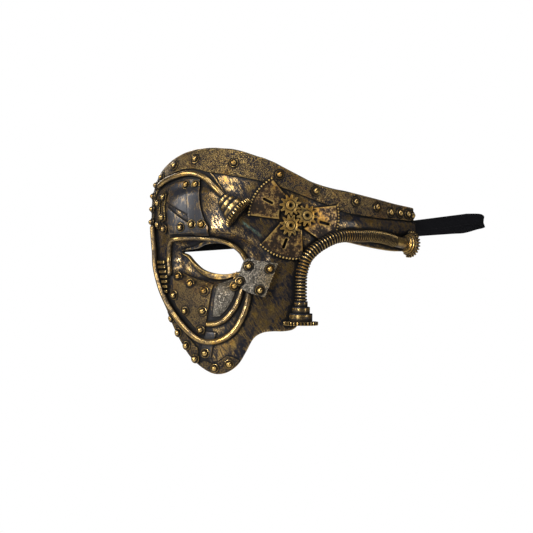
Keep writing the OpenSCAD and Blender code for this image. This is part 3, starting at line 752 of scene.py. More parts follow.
def shade_hollows(reach=7.0, rays=14, seed=5):
    """Marks every point with how much of its surroundings other surfaces fill, 1 deep in a hollow; the paint
    turns the mark into painted shade and black wash.
    """
    points, faces, start = [], [], 0
    for obj in PIECES:
        mesh = obj.data
        co = np.empty(len(mesh.vertices) * 3, np.float32)
        mesh.vertices.foreach_get("co", co)
        points.append(co.reshape(-1, 3))
        faces += [tuple(i + start for i in f.vertices) for f in mesh.polygons]
        start += len(mesh.vertices)
    tree = BVHTree.FromPolygons(np.concatenate(points).tolist(), faces)
    rng = np.random.default_rng(seed)
    turn = np.arange(rays) * GOLDEN_TURN
    up = np.sqrt((np.arange(rays) + 0.5) / rays)
    out = np.sqrt(1 - up ** 2)
    fan = np.stack([out * np.cos(turn), out * np.sin(turn), up], -1)
    for obj, co in zip(PIECES, points):
        mesh = obj.data
        n = np.empty(len(co) * 3, np.float32)
        mesh.vertices.foreach_get("normal", n)
        n = n.reshape(-1, 3)
        side = np.where(np.abs(n[:, 2:]) < 0.9, [[0, 0, 1]], [[1, 0, 0]])
        a = unit(np.cross(n, side) + 1e-9)
        b = np.cross(n, a)
        swing = rng.uniform(0, 2 * math.pi, len(co))[:, None]
        a, b = a * np.cos(swing) + b * np.sin(swing), b * np.cos(swing) - a * np.sin(swing)
        origin = co + n * RAY_LIFT * MM
        nook = np.zeros(len(co))
        for ray in fan:
            direction = (ray[0] * a + ray[1] * b + ray[2] * n).tolist()
            for i, (o, d) in enumerate(zip(origin.tolist(), direction)):
                hit = tree.ray_cast(o, d, reach * MM)[3]
                if hit is not None:
                    nook[i] += 1 - hit / (reach * MM)
        nook /= rays
        # Painted shade round each rivet's seat, on every piece but the rivets.
        if "rivet_row" not in obj.name:
            near = np.linalg.norm(co[:, None] / MM - np.array(SEATS), axis=2).min(1)
            nook += SEAT_SHADE * ease((SEAT_REACH - near) / SEAT_FADE)
        mesh.attributes.new("nook", "FLOAT", "POINT").data.foreach_set("value", nook.astype(np.float32))


# ---- Paints ----
def slanted(angle):
    """The turn of brush strokes that lean by an angle, seen from the mask's front left."""
    return tuple(Matrix.Rotation(math.radians(angle), 3, Vector((0.866, -0.5, 0))).to_euler())


def verdigris(p, colour):
    """A green bloom on the brow, beside the brow union."""
    start, end = (spot(s) for s in ((74, 28), (87, 18)))
    middle, run = (start + end) / 2, unit(end - start)
    offset = p.node("ShaderNodeVectorMath", {0: p.place, 1: tuple(middle)}, operation="SUBTRACT")
    down = p.node("ShaderNodeVectorMath", {0: offset, 1: tuple(run)}, out="Value", operation="DOT_PRODUCT")
    far = p.node("ShaderNodeVectorMath", {0: offset}, out="Value", operation="LENGTH")
    side = (far * far - down * down) ** 0.5
    bloom = p.steps(side, 1.5, 0.2) * p.steps(down * down, 110.0, 30.0)
    bloom = bloom * p.steps(p.noise(p.place, 0.8, 3.0), 0.32, 0.6)
    return p.mix(colour, VERDIGRIS, bloom * 0.55)


PAINTS = {}


def paint(slot):
    """The paint of a slot, made once. What comes after a dot in the slot's name is a variety of it."""
    if slot in PAINTS:
        return PAINTS[slot]
    f = bpy.context.scene.mask_finish
    colours = (f.gold, f.bronze, f.copper, f.pewter, f.slate, f.black)
    gold, bronze, copper, pewter, slate, black = (tuple(c) for c in colours)
    recipes = {
        "aged_shell": dict(
            dark=black, mid=tone(bronze, 1.25), bright=gold, cover=0.5,
            streak=(1.1, 1.1, 0.14), turn=slanted(32), rough=(0.3, 0.22), vary=0.75, gloss=0.12,
            tint=verdigris),
        "grained_band": dict(
            dark=black, mid=tone(bronze, 1.2), bright=gold, cover=0.58,
            streak=(0.5, 0.5, 0.1), grain=1.25, turn=slanted(60), depth=0.3, rough=(0.44, 0.32),
            patch=0.1, vary=0.6),
        "grained_band.cheek": dict(
            dark=black, mid=tone(bronze, 1.4), bright=tone(gold, 0.8),
            cover=0.6, streak=(0.9, 0.9, 0.1), grain=1.5, turn=slanted(75), depth=0.2,
            rough=(0.42, 0.3), vary=0.5),
        "grained_band.jaw": dict(
            dark=black, mid=bronze, bright=tone(gold, 0.7), cover=0.5,
            streak=(0.9, 0.9, 0.1), grain=1.5, turn=slanted(20), depth=0.2, rough=(0.42, 0.3), vary=0.6),
        "slate_plate": dict(
            dark=black, mid=tone(slate, 1.6), bright=bronze, cover=0.5,
            streak=(1.1, 1.1, 0.12), turn=slanted(10), rough=(0.36, 0.28), metal=0.5, rim=0.8,
            patch=0.12, gloss=0.35),
        "pewter_plate": dict(
            dark=tone(pewter, 0.1), mid=pewter, bright=tone(pewter, 1.4),
            cover=0.62, grain=1.7, depth=0.35, rough=(0.4, 0.26), vary=0.7),
        "dark_lid": dict(
            dark=black, mid=bronze, bright=gold, cover=0.3, rough=(0.35, 0.3)),
        "bronze_lid": dict(
            dark=black, mid=bronze, bright=gold, cover=0.46, rough=(0.36, 0.28), rim=1.2, vary=0.5),
        "gold_pipe": dict(
            dark=tone(bronze, 0.3), mid=tone(bronze, 1.5), bright=gold,
            cover=0.52, streak=(0.2, 0.2, 0.2), rough=(0.34, 0.24), rim=0.7, hollow_wash_and_shade=1.2, vary=0.6),
        "gold_rivet": dict(
            dark=tone(bronze, 0.15), mid=tone(bronze, 1.5), bright=gold,
            cover=0.6, patch=0.6, rough=(0.34, 0.22), rim=1.0, hollow_wash_and_shade=1.1, vary=0.6),
        "bronze_fitting": dict(
            dark=black, mid=bronze, bright=gold, cover=0.62, patch=0.3, rough=(0.36, 0.26), rim=1.0,
            vary=0.6),
        "copper_blade": dict(
            dark=tone(copper, 0.12), mid=copper, bright=gold, cover=0.47, patch=0.2,
            streak=(0.5, 0.5, 0.5), depth=0.16, rough=(0.5, 0.36), rim=1.3, metal=0.6),
        "tan_gear": dict(
            dark=tone(bronze, 0.15), mid=tone(gold, 0.45), bright=gold,
            cover=0.55, patch=0.4, rough=(0.5, 0.36), rim=1.0, vary=0.7),
        "hose_black": dict(
            dark=black, mid=black, bright=bronze, cover=0.2),
        "hose_bronze": dict(
            dark=black, mid=bronze, bright=gold, cover=0.32, patch=0.3, rough=(0.36, 0.26), rim=1.4,
            vary=0.6),
    }
    name = slot.replace(".", "_") + "_paint"
    PAINTS[slot] = aged_paint(name, **recipes[slot]) if slot in recipes else elastic_weave(name)
    return PAINTS[slot]


def elastic_weave(name):
    """Ribbed knit: fine cords along the band and a close weave across them."""
    p = Paint(name)
    across, along = p.mark("across"), p.mark("along")
    cords = p.node("ShaderNodeMath", {0: across * (2 * math.pi / 0.62)}, operation="SINE")
    weave = p.node("ShaderNodeMath", {0: along * (2 * math.pi / 0.8) + cords * 0.8}, operation="SINE")
    fuzz = p.noise(p.place, 4.0, 2.0)
    height = cords * 0.5 + weave * 0.25 + fuzz * 0.4
    colour = p.mix((0.002, 0.002, 0.0028, 1.0), (0.007, 0.007, 0.0095, 1.0), fuzz * 0.7 + cords * 0.25)
    return p.shine(colour, 0.0, 0.85 - fuzz * 0.1, height, 0.1, specular=0.1)


# ---- Settings ----
def colour_field(name, description, value):
    """A setting that holds a colour."""
    return bpy.props.FloatVectorProperty(name=name, description=description, subtype="COLOR", default=value,
                                         min=0, max=1)


class MaskSizes(bpy.types.PropertyGroup):
    """Sizes that only the looks have"""
    grid: bpy.props.FloatProperty(name="Shell Grid",
                                  description="Spacing of the points on the shell, in mm", default=1.6,
                                  min=0.8, max=4.0)
    rim_t: bpy.props.FloatProperty(name="Raised Rim",
                                   description="Height of the raised rim of a blade, in mm", default=0.3,
                                   min=0.0, max=0.8)
    rivet_spread: bpy.props.FloatProperty(name="Rivet Spread",
                                          description="How much the rivets differ in size", default=0.05,
                                          min=0.0, max=0.2, subtype="FACTOR")


class MaskFinish(bpy.types.PropertyGroup):
    """Colours of the paints"""
    gold: colour_field("Gold", "Dry-brushed gold", (0.41, 0.27, 0.09))
    bronze: colour_field("Bronze", "Dry-brushed bronze", (0.13, 0.088, 0.042))
    copper: colour_field("Copper", "Brown copper of the fan", (0.11, 0.064, 0.032))
    pewter: colour_field("Pewter", "Silver of the corner plate", (0.3, 0.265, 0.21))
    slate: colour_field("Slate", "Grey of the brow plates", (0.021, 0.0205, 0.022))
    black: colour_field("Black", "Paint under the brushed colours", (0.008, 0.0085, 0.013))


class MaskStage(bpy.types.PropertyGroup):
    """Lights and floor"""
    light: bpy.props.FloatProperty(name="Light", description="Strength of the soft lights", default=0.6,
                                   min=0.1, max=5.0)
    floor_drop: bpy.props.FloatProperty(name="Floor Drop", description="Height of the mask above the floor",
                                        default=0.22, min=0.0, max=1.0, unit="LENGTH")


class MaskOperator(bpy.types.Operator):
    """One step of the making; make(sizes) does it"""
    bl_options = {"REGISTER", "UNDO"}

    def execute(self, context):
        self.make(context.scene.mask_sizes)
        return {"FINISHED"}


class MASK_OT_shell(MaskOperator):
    """The moulded shell with the eye hole, the cheek and the arm"""
    bl_idname, bl_label = "mask.shell", "Shell"

    def make(self, sizes):
        eye = ruled(EYE_LOW, EYE_TOP, 6)
        shell = panel(ruled(SHELL_LOW, SHELL_TOP, 4), -WALL, 0, holes=[eye], step=sizes.grid, edge=1.2,
                      soften=0.8, under=0.6)
        half = len(shell.points) // 2
        shell.marks["rim"] = np.concatenate([shell.marks["rim"][:half], np.full(half, -0.9)])
        piece("mask_shell", shell, "aged_shell", "face_shell")


class MASK_OT_band(MaskOperator):
    """The grained band along the top edge"""
    bl_idname, bl_label = "mask.band", "Forehead Band"

    def make(self, sizes):
        plate("grained_forehead_band", "grained_band", "forehead_band", BAND_LOW, BAND_TOP, 5, BAND_T,
              step=1.4, edge=1.0, soften=0.45)


class MASK_OT_brow(MaskOperator):
    """The plates, the strap and the links on the brow"""
    bl_idname, bl_label = "mask.brow", "Brow Plates"

    def make(self, sizes):
        plate("slate_upper_brow_plate", "slate_plate", "upper_brow_plate",
              [(12, 42), (18, 39.8), (27, 36), (37, 32)],
              [(11, 53), (17, 54.8), (25, 56), (34, 57)],
              6, step=1.2, edge=0.8)
        plate("slate_lower_brow_plate", "slate_plate", "lower_brow_plate",
              [(17, 19), (27, 19.5), (41.5, 20)],
              [(15, 38), (24, 33), (39.5, 25)],
              6, step=1.2, edge=0.8)
        plate("riveted_brow_strap", "slate_plate", "brow_strap",
              [(28, 57), (33.5, 45), (35, 37), (36, 30), (38, 23), (40.5, 18)],
              [(41, 57), (43.5, 47), (45.5, 38), (48.5, 30), (51.8, 24), (50.5, 18)],
              5, PLATE_T + LINK_T, low=PLATE_T - BED, step=1.2, edge=0.8)
        for name, node, ends in (("far_brow_link", "outer_brow_link", LINK_SPOTS[:2]),
                                 ("near_brow_link", "inner_brow_link", LINK_SPOTS[2:])):
            link = panel(link_outline(ends, LINK_W), -BED, LINK_T, step=1.0, edge=0.6, soften=0.3)
            piece(name, link, "bronze_fitting", node)


def link_outline(ends, width):
    """A bar with an eye at each end, as wide as a rivet's seat, and a narrower waist."""
    a, b = (np.array(e, float) for e in ends)
    d = unit(b - a)
    e = np.array([-d[1], d[0]])
    far = float(np.linalg.norm(b - a))
    spine = [(-0.5, 0.32), (-0.35, 0.44), (-0.2, 0.5), (0.2, 0.5), (0.5, 0.41)]
    along = [q * width for q, _ in spine] + [far / 2] + [far - q * width for q, _ in spine[::-1]]
    half = [w for _, w in spine] + [0.38] + [w for _, w in spine[::-1]]
    left = [a + d * x - e * w * width for x, w in zip(along, half)]
    right = [a + d * x + e * w * width for x, w in zip(along, half)]
    return np.array(left + right[::-1])


class MASK_OT_eye(MaskOperator):
    """The two rims of the eye hole and the pipe over it"""
    bl_idname, bl_label = "mask.eye", "Eye"

    def make(self, sizes):
        upper = panel(lid_outline(EYE_TOP, UPPER_LID_W), -BED, UPPER_LID_T, step=1.0, edge=0.8, soften=0.5)
        piece("upper_lid", upper, "dark_lid", "upper_eyelid")
        lower = panel(lid_outline(EYE_LOW, LOWER_LID_W), -BED, LOWER_LID_T, step=1.0, edge=0.8, soften=0.75)
        piece("lower_lid", lower, "bronze_lid", "lower_eyelid")
        frame_pipe = pipe(EYE_LINE, EYE_R, EYE_R - BED)
        piece("eye_pipe", frame_pipe, "gold_pipe", "eye_frame_pipe")


def lid_outline(line, width):
    """A lid along a line, widest at its middle."""
    far = [(s, z + width * max(0.2, math.sin(math.pi * i / (len(line) - 1))))
           for i, (s, z) in enumerate(line)]
    return ruled(line, far, 5)


class MASK_OT_pipes(MaskOperator):
    """The brow pipe with its union, and the two pipes round the cheek"""
    bl_idname, bl_label = "mask.pipes", "Pipes"

    def make(self, sizes):
        pipes = (("long_brow_pipe", "brow_pipe", BROW_LINE, BROW_R, BROW_R - BED),
                 ("cheek_edge_pipe", "edge_pipe", EDGE_LINE, EDGE_R, EDGE_R + LINK_T - BED),
                 ("cheek_inner_pipe", "inner_pipe", INNER_LINE, INNER_R, INNER_R - BED))
        for name, node, line, r, h in pipes:
            shape = pipe(line, r, h)
            if node == "brow_pipe":
                shape = shape + pipe(BROW_ROD, 0.55, 0.3, sides=10)
            piece(name, shape, "gold_pipe", node)
        union = stepped_collar().laid(UNION_AT, 2, UNION_TURN)
        piece("brow_pipe_union", union, "bronze_fitting", "brow_union")
        flange("brow_pipe_flange", "brow_union_flange", FLANGE_R, FLANGE_TEETH, UNION_AT, 2, UNION_TURN,
               COLLAR_L)


def stepped_collar():
    """Three turned steps with softened corners and a groove at the foot of each."""
    profile, rims, start = [(0.0, 0.0)], [0.0], 0.0
    for size, length in COLLAR_STEPS:
        r, soft = COLLAR_R * size, 0.35
        profile += [(r - 1.2 * soft, start), (r - 0.3 * soft, start + 0.3 * soft), (r, start + soft),
                    (r, start + 1.6 * soft), (r, start + 3 * soft), (r, start + length / 2),
                    (r, start + length - soft), (r - 0.3 * soft, start + length - 0.3 * soft),
                    (r - soft, start + length)]
        # Each step's foot dark, painted shade in its groove; its face lighter towards its edges, where the
        # brush catches.
        rims += [-1.6, -1.5, -1.4, -1.0, 0.6, 0.1, 0.5, 0.7, 0.2]
        start += length
    return lathe(profile + [(0.0, start)], 48, rims + [0.0])


def flange(name, node, r, teeth, p, h, turn, along):
    """A disc with teeth round its rim, its flat back bedded in the skin."""
    tooth = math.pi * r / teeth
    disc = lathe([(0, 0), (r - tooth - 0.5, 0), (r - tooth - 0.1, 0.3), (r - tooth, 0.7),
                  (r - tooth, FLANGE_T - 0.7), (r - tooth - 0.1, FLANGE_T - 0.3),
                  (r - tooth - 0.5, FLANGE_T), (0, FLANGE_T)], 60)
    disc.points[:, 2] += along
    body = disc.laid(p, h, turn)
    soft, w, x0, x1 = 0.25, tooth / 2, r - tooth - 0.5, r
    rib = panel([(x0, -w), (x1 - 0.4, -w), (x1, -w * 0.6), (x1, w * 0.6), (x1 - 0.4, w), (x0, w)], 0,
                FLANGE_T, step=0.9, edge=0.7, soften=soft, under=soft, place=level)
    origin, axes = stand(p, 0, turn)
    places = []
    for i in range(teeth):
        a = 2 * math.pi * (i + 0.5) / teeth
        height = h - r * math.cos(a)
        if height < 0.3:
            continue
        local = np.array([[0, 0, 1], [math.sin(a), math.cos(a), 0], [-math.cos(a), math.sin(a), 0]], float)
        places.append((origin + axes @ np.array([along, 0, h]), axes @ local))
    ribs = repeated(name, rib, places, paint("gold_rivet"))
    piece(name, merged(body.mesh(name + "_disc"), ribs), "gold_rivet", node)


class MASK_OT_comb(MaskOperator):
    """The stack of cooling fins on the bridge of the nose"""
    bl_idname, bl_label = "mask.comb", "Bridge Comb"

    def make(self, sizes):
        fin = panel([(-0.5, -0.85), (0.5, -0.85), (0.5, 0.85), (-0.5, 0.85)], 0, 3.2, step=0.5, edge=0.4,
                    soften=0.3, place=level)
        places, widths = [], []
        for i in range(7):
            z = -3.4 * i
            left, right = 1.5 - 0.42 * z, min(13.4, 10.4 - 0.3 * z)
            places.append(stand(((left + right) / 2, z), -BED))
            widths.append((right - left, 1, 1))
        fins = repeated("bridge_fins", fin, places, paint("gold_rivet"), sizes=widths)
        piece("bridge_fins", fins, "gold_pipe", "bridge_comb")


CORNER_OUTLINE = np.concatenate([curve([(71.5, -12), (75.5, -19), (82, -22), (89, -24)], 4),
                                 curve([(73.5, -5), (77, 2), (87, 0.5), (97.5, -1)], 4)[::-1]])


def corner_relief(p):
    """The relief under the corner plate, evened out so that the plate lies flat."""
    p = np.asarray(p, float)
    terms = np.stack([np.ones(len(CORNER_OUTLINE)), *CORNER_OUTLINE.T], -1)
    fit = np.linalg.lstsq(terms, relief(CORNER_OUTLINE[:, 0], CORNER_OUTLINE[:, 1]), rcond=None)[0]
    return fit[0] + fit[1] * p[..., 0] + fit[2] * p[..., 1]


def on_corner(p, h):
    """Places h above the corner plate's seat."""
    return skin(p[:, 0], p[:, 1]) + (corner_relief(p) + h)[:, None] * normal(p[:, 0], p[:, 1])


class MASK_OT_cheek(MaskOperator):
    """The cheek plate, the pewter insert with its star gear, and the corner plate"""
    bl_idname, bl_label = "mask.cheek", "Cheek"

    def make(self, sizes):
        plate("grained_cheek_plate", "grained_band.cheek", "cheek_plate",
              [(19, -21), (22, -30), (28, -35.5), (34, -40.5), (40, -46), (46.3, -51)],
              [(19.5, -6), (25, -8), (31, -10), (38, -11.8), (46, -13.6), (54, -15.6)],
              4, step=1.3, edge=0.9, form=lambda p, far: 0.15 * np.exp(-((far - 0.6) / 0.35) ** 2))
        plate("pewter_cheek_insert", "pewter_plate", "cheek_insert",
              [(53.5, -37.5), (54.6, -29), (55.8, -22), (57.5, -15)],
              [(58.5, -38), (64.5, -31.5), (69, -23.5), (72, -10)],
              5, step=1.0, edge=0.8)
        origin, axes = stand(STAR_SPOT, PLATE_T)
        outline = []
        for i in range(2 * STAR_TEETH):
            r, a = STAR_R[i % 2], math.radians(180 / STAR_TEETH * i)
            outline.append((r * math.cos(a), r * math.sin(a)))
        star = panel(outline, 0, STAR_T, step=0.8, edge=0.5, soften=0.25, place=on_frame(origin, axes))
        piece("small_star_gear", star, "gold_rivet", "star_gear")
        corner = panel(CORNER_OUTLINE, CORNER_H, CORNER_H + CORNER_T, step=1.2, edge=0.8, soften=0.3,
                       under=0.2, place=on_corner)
        piece("pewter_corner_plate", corner, "pewter_plate", "corner_plate")


def on_frame(origin, axes):
    """Lays an outline on a plane: the first two axes along it, the third off it."""
    return lambda q, up: origin + q[:, :1] * axes[:, 0] + q[:, 1:2] * axes[:, 1] + np.reshape(
        up + 0 * q[:, 0], (-1, 1)) * axes[:, 2]


class MASK_OT_jaw(MaskOperator):
    """The riveted strip along the jaw's front edge, the strap and the jaw plate"""
    bl_idname, bl_label = "mask.jaw", "Jaw"

    def make(self, sizes):
        plate("jaw_front_strip", "grained_band.jaw", "jaw_edge_strip",
              [(11.5, -34.5), (22, -50.5), (31.5, -62.5), (40.5, -70.5)],
              [(16, -34), (25.5, -44), (33.5, -52.5), (41, -60)],
              6, step=1.2, edge=0.9)
        plate("jaw_cross_strap", "slate_plate", "jaw_strap",
              [(43, -65.5), (44.5, -58), (48, -48)],
              [(51, -66.5), (53, -58), (56, -49)],
              6, LINK_T, step=1.2, edge=0.9)
        plate("jaw_base_plate", "grained_band.jaw", "jaw_plate",
              [(42.5, -72), (47, -74.5), (52, -76.3), (59, -76.5), (66, -73.8), (72, -68.8)],
              [(43, -69.5), (47, -68.5), (51, -70), (57, -69), (64, -65), (72, -67.6)],
              5, step=1.1, edge=0.8)


class MASK_OT_fan(MaskOperator):
    """Three slotted blades with beaded rims"""
    bl_idname, bl_label = "mask.fan", "Fan"

    def make(self, sizes):
        n = 2 * BLADE_TEETH
        for i, (name, node) in enumerate((("front_fan_blade", "fan_blade_front"),
                                          ("rear_fan_blade", "fan_blade_rear"),
                                          ("lower_fan_blade", "fan_blade_lower"))):
            direction = BLADE_DIRS[i]

            def arc(j, half, r):
                """Step j of n along an arc round the hub, from half degrees to -half."""
                a = math.radians(direction + half * (1 - 2 * j / n))
                return FAN_HUB + r * np.array([math.cos(a), math.sin(a)])

            outer = [arc(j, BLADE_OUTER, FAN_R if j % 2 == 0 else FAN_R - 1) for j in range(n + 1)]
            inner = [arc(j, BLADE_INNER, FAN_INNER_R) for j in range(n + 1)]
            a = math.radians(direction)
            run, side = np.array([math.cos(a), math.sin(a)]), np.array([-math.sin(a), math.cos(a)])
            middle = FAN_HUB + SLOT_AT * run
            slot = []
            for turn in range(0, 360, 20):
                t = math.radians(turn + 10)
                end = (SLOT_L - SLOT_W) / 2 * (1 if math.cos(t) > 0 else -1)
                slot.append(middle + run * (end + SLOT_W / 2 * math.cos(t)) + side * SLOT_W / 2
                            * math.sin(t))
            dents = [arc(j, BLADE_OUTER - 5, FAN_R - 3.5) for j in (0, n)]

            def form(p, far, dents=dents):
                """A raised rim, and a dent beside each end of the toothed edge."""
                rim = sizes.rim_t * np.exp(-((far - 0.55) / 0.4) ** 2)
                hollow = sum(0.5 * np.exp(-(np.linalg.norm(p - d, axis=1) / 0.9) ** 2) for d in dents)
                return rim - hollow

            blade = panel(np.array(inner + outer[::-1]), BAND_T, BAND_T + BLADE_T, holes=[np.array(slot)],
                          step=1.0, edge=0.8, soften=0.3, form=form)
            # The bead dark at its foot, painted shade, and light on its top, a painted highlight.
            bead = lathe([(0, -0.3), (0.72, -0.3), (0.8, 0), (0.7, 0.35), (0.4, 0.6), (0, 0.68)], 10,
                         [-1.5, -1.5, -0.4, 0.8, 1.4, 1.6])
            beads = repeated(name, bead, [stand(arc(j, BLADE_OUTER, FAN_R - 1.1), BAND_T + BLADE_T)
                                          for j in range(0, n + 1, 2)], paint("copper_blade"), seed=11 + i)
            # A dark band along the bead row on the blade: painted shade round the beads.
            track = np.array([spot(arc(j / 2, BLADE_OUTER, FAN_R - 1.1), BAND_T + BLADE_T)
                              for j in range(2 * n + 1)])
            near = np.linalg.norm(blade.points[:, None] - track, axis=2).min(1)
            blade.marks["rim"] = blade.marks["rim"] - 2.4 * ease((1.5 - near) / 0.6)
            piece(name, merged(blade.mesh(name + "_plate"), beads), "copper_blade", node)


class MASK_OT_gears(MaskOperator):
    """Three meshed gears and the eyelets that hold them"""
    bl_idname, bl_label = "mask.gears", "Gears"

    def make(self, sizes):
        def mesh_turn(a):
            """How many teeth one gear turns against its neighbour in direction a."""
            return 2 * a * GEAR_TEETH / 360 + (GEAR_TEETH - 1) / 2

        ab, ac, bc = mesh_turn(-30), mesh_turn(-90), mesh_turn(210)
        turns = [(ab + ac - bc) / 2, (ab + bc - ac) / 2, (ac + bc - ab) / 2]
        origin, axes = stand(FAN_HUB, GEAR_H)
        root = GEAR_R - TOOTH_L
        bore = circle(GEAR_BORE, 24)
        eyelets = []
        names = (("upper_meshed_gear", "gear_upper"), ("rear_meshed_gear", "gear_rear"),
                 ("lower_meshed_gear", "gear_lower"))
        for (name, node), direction, turn in zip(names, GEAR_DIRS, turns):
            a = math.radians(direction)
            centre = origin + GEAR_ORBIT * (math.cos(a) * axes[:, 0] + math.sin(a) * axes[:, 1])
            tooth = [(root, -1.05), (GEAR_R - 1.1, -0.72), (GEAR_R - 0.35, -0.62), (GEAR_R - 0.08, -0.33),
                     (GEAR_R, 0), (GEAR_R - 0.08, 0.33), (GEAR_R - 0.35, 0.62), (GEAR_R - 1.1, 0.72),
                     (root, 1.05)]
            outline = []
            for i in range(GEAR_TEETH):
                t = math.radians((turn + i) * 360 / GEAR_TEETH)
                gap = math.radians((turn + i + 0.5) * 360 / GEAR_TEETH)
                outline += [(x * math.cos(t) - y * math.sin(t), x * math.sin(t) + y * math.cos(t))
                            for x, y in tooth]
                outline.append(((root - 0.1) * math.cos(gap), (root - 0.1) * math.sin(gap)))

            def form(p, _):
                """A ring and a groove round the gear's bore."""
                r = np.linalg.norm(p, axis=1)
                return 0.35 * np.exp(-((r - 3.9) / 0.4) ** 2) - 0.2 * np.exp(-((r - 2.9) / 0.5) ** 2)

            gear = panel(outline, 0, GEAR_T, holes=[bore], step=0.7, edge=0.55, soften=0.25, form=form,
                         place=on_frame(centre, axes))
            piece(name, gear, "tan_gear", node)
            eyelets.append((centre, axes))
        r = GEAR_BORE - 0.05
        eyelet = lathe([(0, -GEAR_H - BED), (r, -GEAR_H - BED), (r, GEAR_T), (GEAR_BORE + 1.2, GEAR_T),
                        (GEAR_BORE + 1.2, GEAR_T + 0.4), (GEAR_BORE + 0.8, GEAR_T + 0.68),
                        (GEAR_BORE + 0.3, GEAR_T + 0.7), (r - 0.5, GEAR_T + 0.5), (r - 0.7, GEAR_T),
                        (r - 0.7, GEAR_T - 1.5), (0, GEAR_T - 1.5)], 28,
                       [0, 0, 0, 0, 0.7, 1, 0.8, 0.4, 0, 0, 0])
        held = repeated("hollow_eyelets", eyelet, eyelets, paint("tan_gear"))
        piece("hollow_eyelets", held, "tan_gear", "gear_eyelets")


class MASK_OT_hose(MaskOperator):
    """The ringed hose with the fittings at both its ends"""
    bl_idname, bl_label = "mask.hose", "Hose"

    def make(self, sizes):
        c = curve(HOSE_LINE, 12)
        path, ups = at(c, HOSE_H), normal(c[:, 0], c[:, 1])
        core = sweep(path, ups, circle(HOSE_R - 1.2, 20))
        piece("hose_inside", core, "hose_black", "hose_core")
        reach = np.concatenate([[0], np.cumsum(np.linalg.norm(np.diff(path, axis=0), axis=1))])
        heading = unit(np.gradient(path, axis=0))
        wire = 0.92
        ring = torus(HOSE_R - wire * 0.95, wire, 28, 8)
        places, scales, d = [], [], 1.1
        while d < reach[-1]:
            along = d / reach[-1]
            i = min(len(path) - 2, int(np.searchsorted(reach, d)) - 1)
            t = (d - reach[i]) / (reach[i + 1] - reach[i])
            ahead = unit(heading[i] * (1 - t) + heading[i + 1] * t)
            side = unit(np.cross(ups[i], ahead))
            middle = path[i] * (1 - t) + path[i + 1] * t
            places.append((middle, np.stack([np.cross(side, ahead), side, ahead], -1)))
            fine = float(ease(np.array((along - 0.45) / 0.5)))
            scales.append((1, 1, 1 - 0.52 * fine))
            d += 2.2 - 0.85 * fine
        rings = repeated("hose_ring_row", ring, places, paint("hose_bronze"), sizes=scales, spin=180,
                         spread=0.012)
        piece("hose_ring_row", rings, "hose_bronze", "hose_rings")
        lower = stepped_collar().laid(HOSE_LINE[0], HOSE_H, -90)
        piece("lower_hose_collar", lower, "bronze_fitting", "hose_lower_collar")
        flange("lower_hose_flange", "hose_lower_flange", FLANGE_R, FLANGE_TEETH, HOSE_LINE[0], HOSE_H, -90,
               COLLAR_L)
        last = np.array(HOSE_LINE[-1])
        end = np.array(SLEEVE_END)
        sleeve = pipe([last, (last + end) / 2, end], HOSE_R - BED, HOSE_H, sides=28, cap=False)
        piece("upper_hose_sleeve", sleeve, "gold_pipe", "hose_sleeve")
        r = COLLAR_R * UPPER_SHARE
        rings = [(0, 0), (r - 0.6, 0), (r - 0.1, 0.3), (r, 0.8), (r - 0.1, 1.3), (r - 0.3, 1.6),
                 (r + 0.1, 1.85), (r + 0.65, 2.1), (r + 0.8, 2.6), (r + 0.65, 3.2),
                 (r + 0.2, UPPER_COLLAR_L), (0, UPPER_COLLAR_L)]
        upper = lathe(rings, 44, [0, 0.2, 0.8, 1, 0.5, 0, 0, 0.6, 1, 0.5, 0, 0])
        upper = upper.laid(SLEEVE_END, HOSE_H, -6)
        piece("upper_hose_collar", upper, "bronze_fitting", "hose_upper_collar")
        flange("upper_hose_flange", "hose_upper_flange", FLANGE_R * UPPER_SHARE + 0.4, FLANGE_TEETH - 6,
               SLEEVE_END, HOSE_H, -6, UPPER_COLLAR_L)


def torus(r, wire, sides, rounds):
    """A ring of round wire, bright on its outside, a painted highlight, and dark on its sides, painted shade
    in the gaps between rings.
    """
    points, faces = [], []
    for i in range(sides):
        a = 2 * math.pi * i / sides
        for j in range(rounds):
            b = 2 * math.pi * j / rounds
            x = r + wire * math.cos(b)
            points.append((x * math.cos(a), x * math.sin(a), wire * math.sin(b)))
    for i in range(sides):
        for j in range(rounds):
            k, m = (i + 1) % sides, (j + 1) % rounds
            faces.append((i * rounds + j, k * rounds + j, k * rounds + m, i * rounds + m))
    crest = np.clip(np.cos(np.arange(rounds) * 2 * math.pi / rounds), 0, 1)
    return Shape(points, faces, rim=np.tile(crest ** 4 - 1.2 * (1 - crest), sides))


def rivet():
    """A dome in a ring-shaped washer with a groove between them."""
    dome = [(2.15 * math.cos(a), 0.42 + 2.35 * math.sin(a))
            for a in np.radians([0, 15, 30, 45, 58, 70, 80])]
    profile = [(0, -BED), (3.05, -BED), (3.2, -0.1), (3.17, 0.25), (3.05, 0.48), (2.85, 0.52), (2.68, 0.36),
               (2.52, 0.05), (2.15, 0.0)] + dome + [(0, 2.8)]
    # Dark at the foot and in the groove, painted shade; lighter on the washer's crest and the dome's top,
    # painted highlights.
    rims = [-1, -1, -1.6, -1, 0.5, 0.8, -1.2, -2, -2, -1.6, -0.8, -0.1, 0.3, 0.6, 0.8, 0.9, 1.0]
    return lathe(profile, 26, rims)


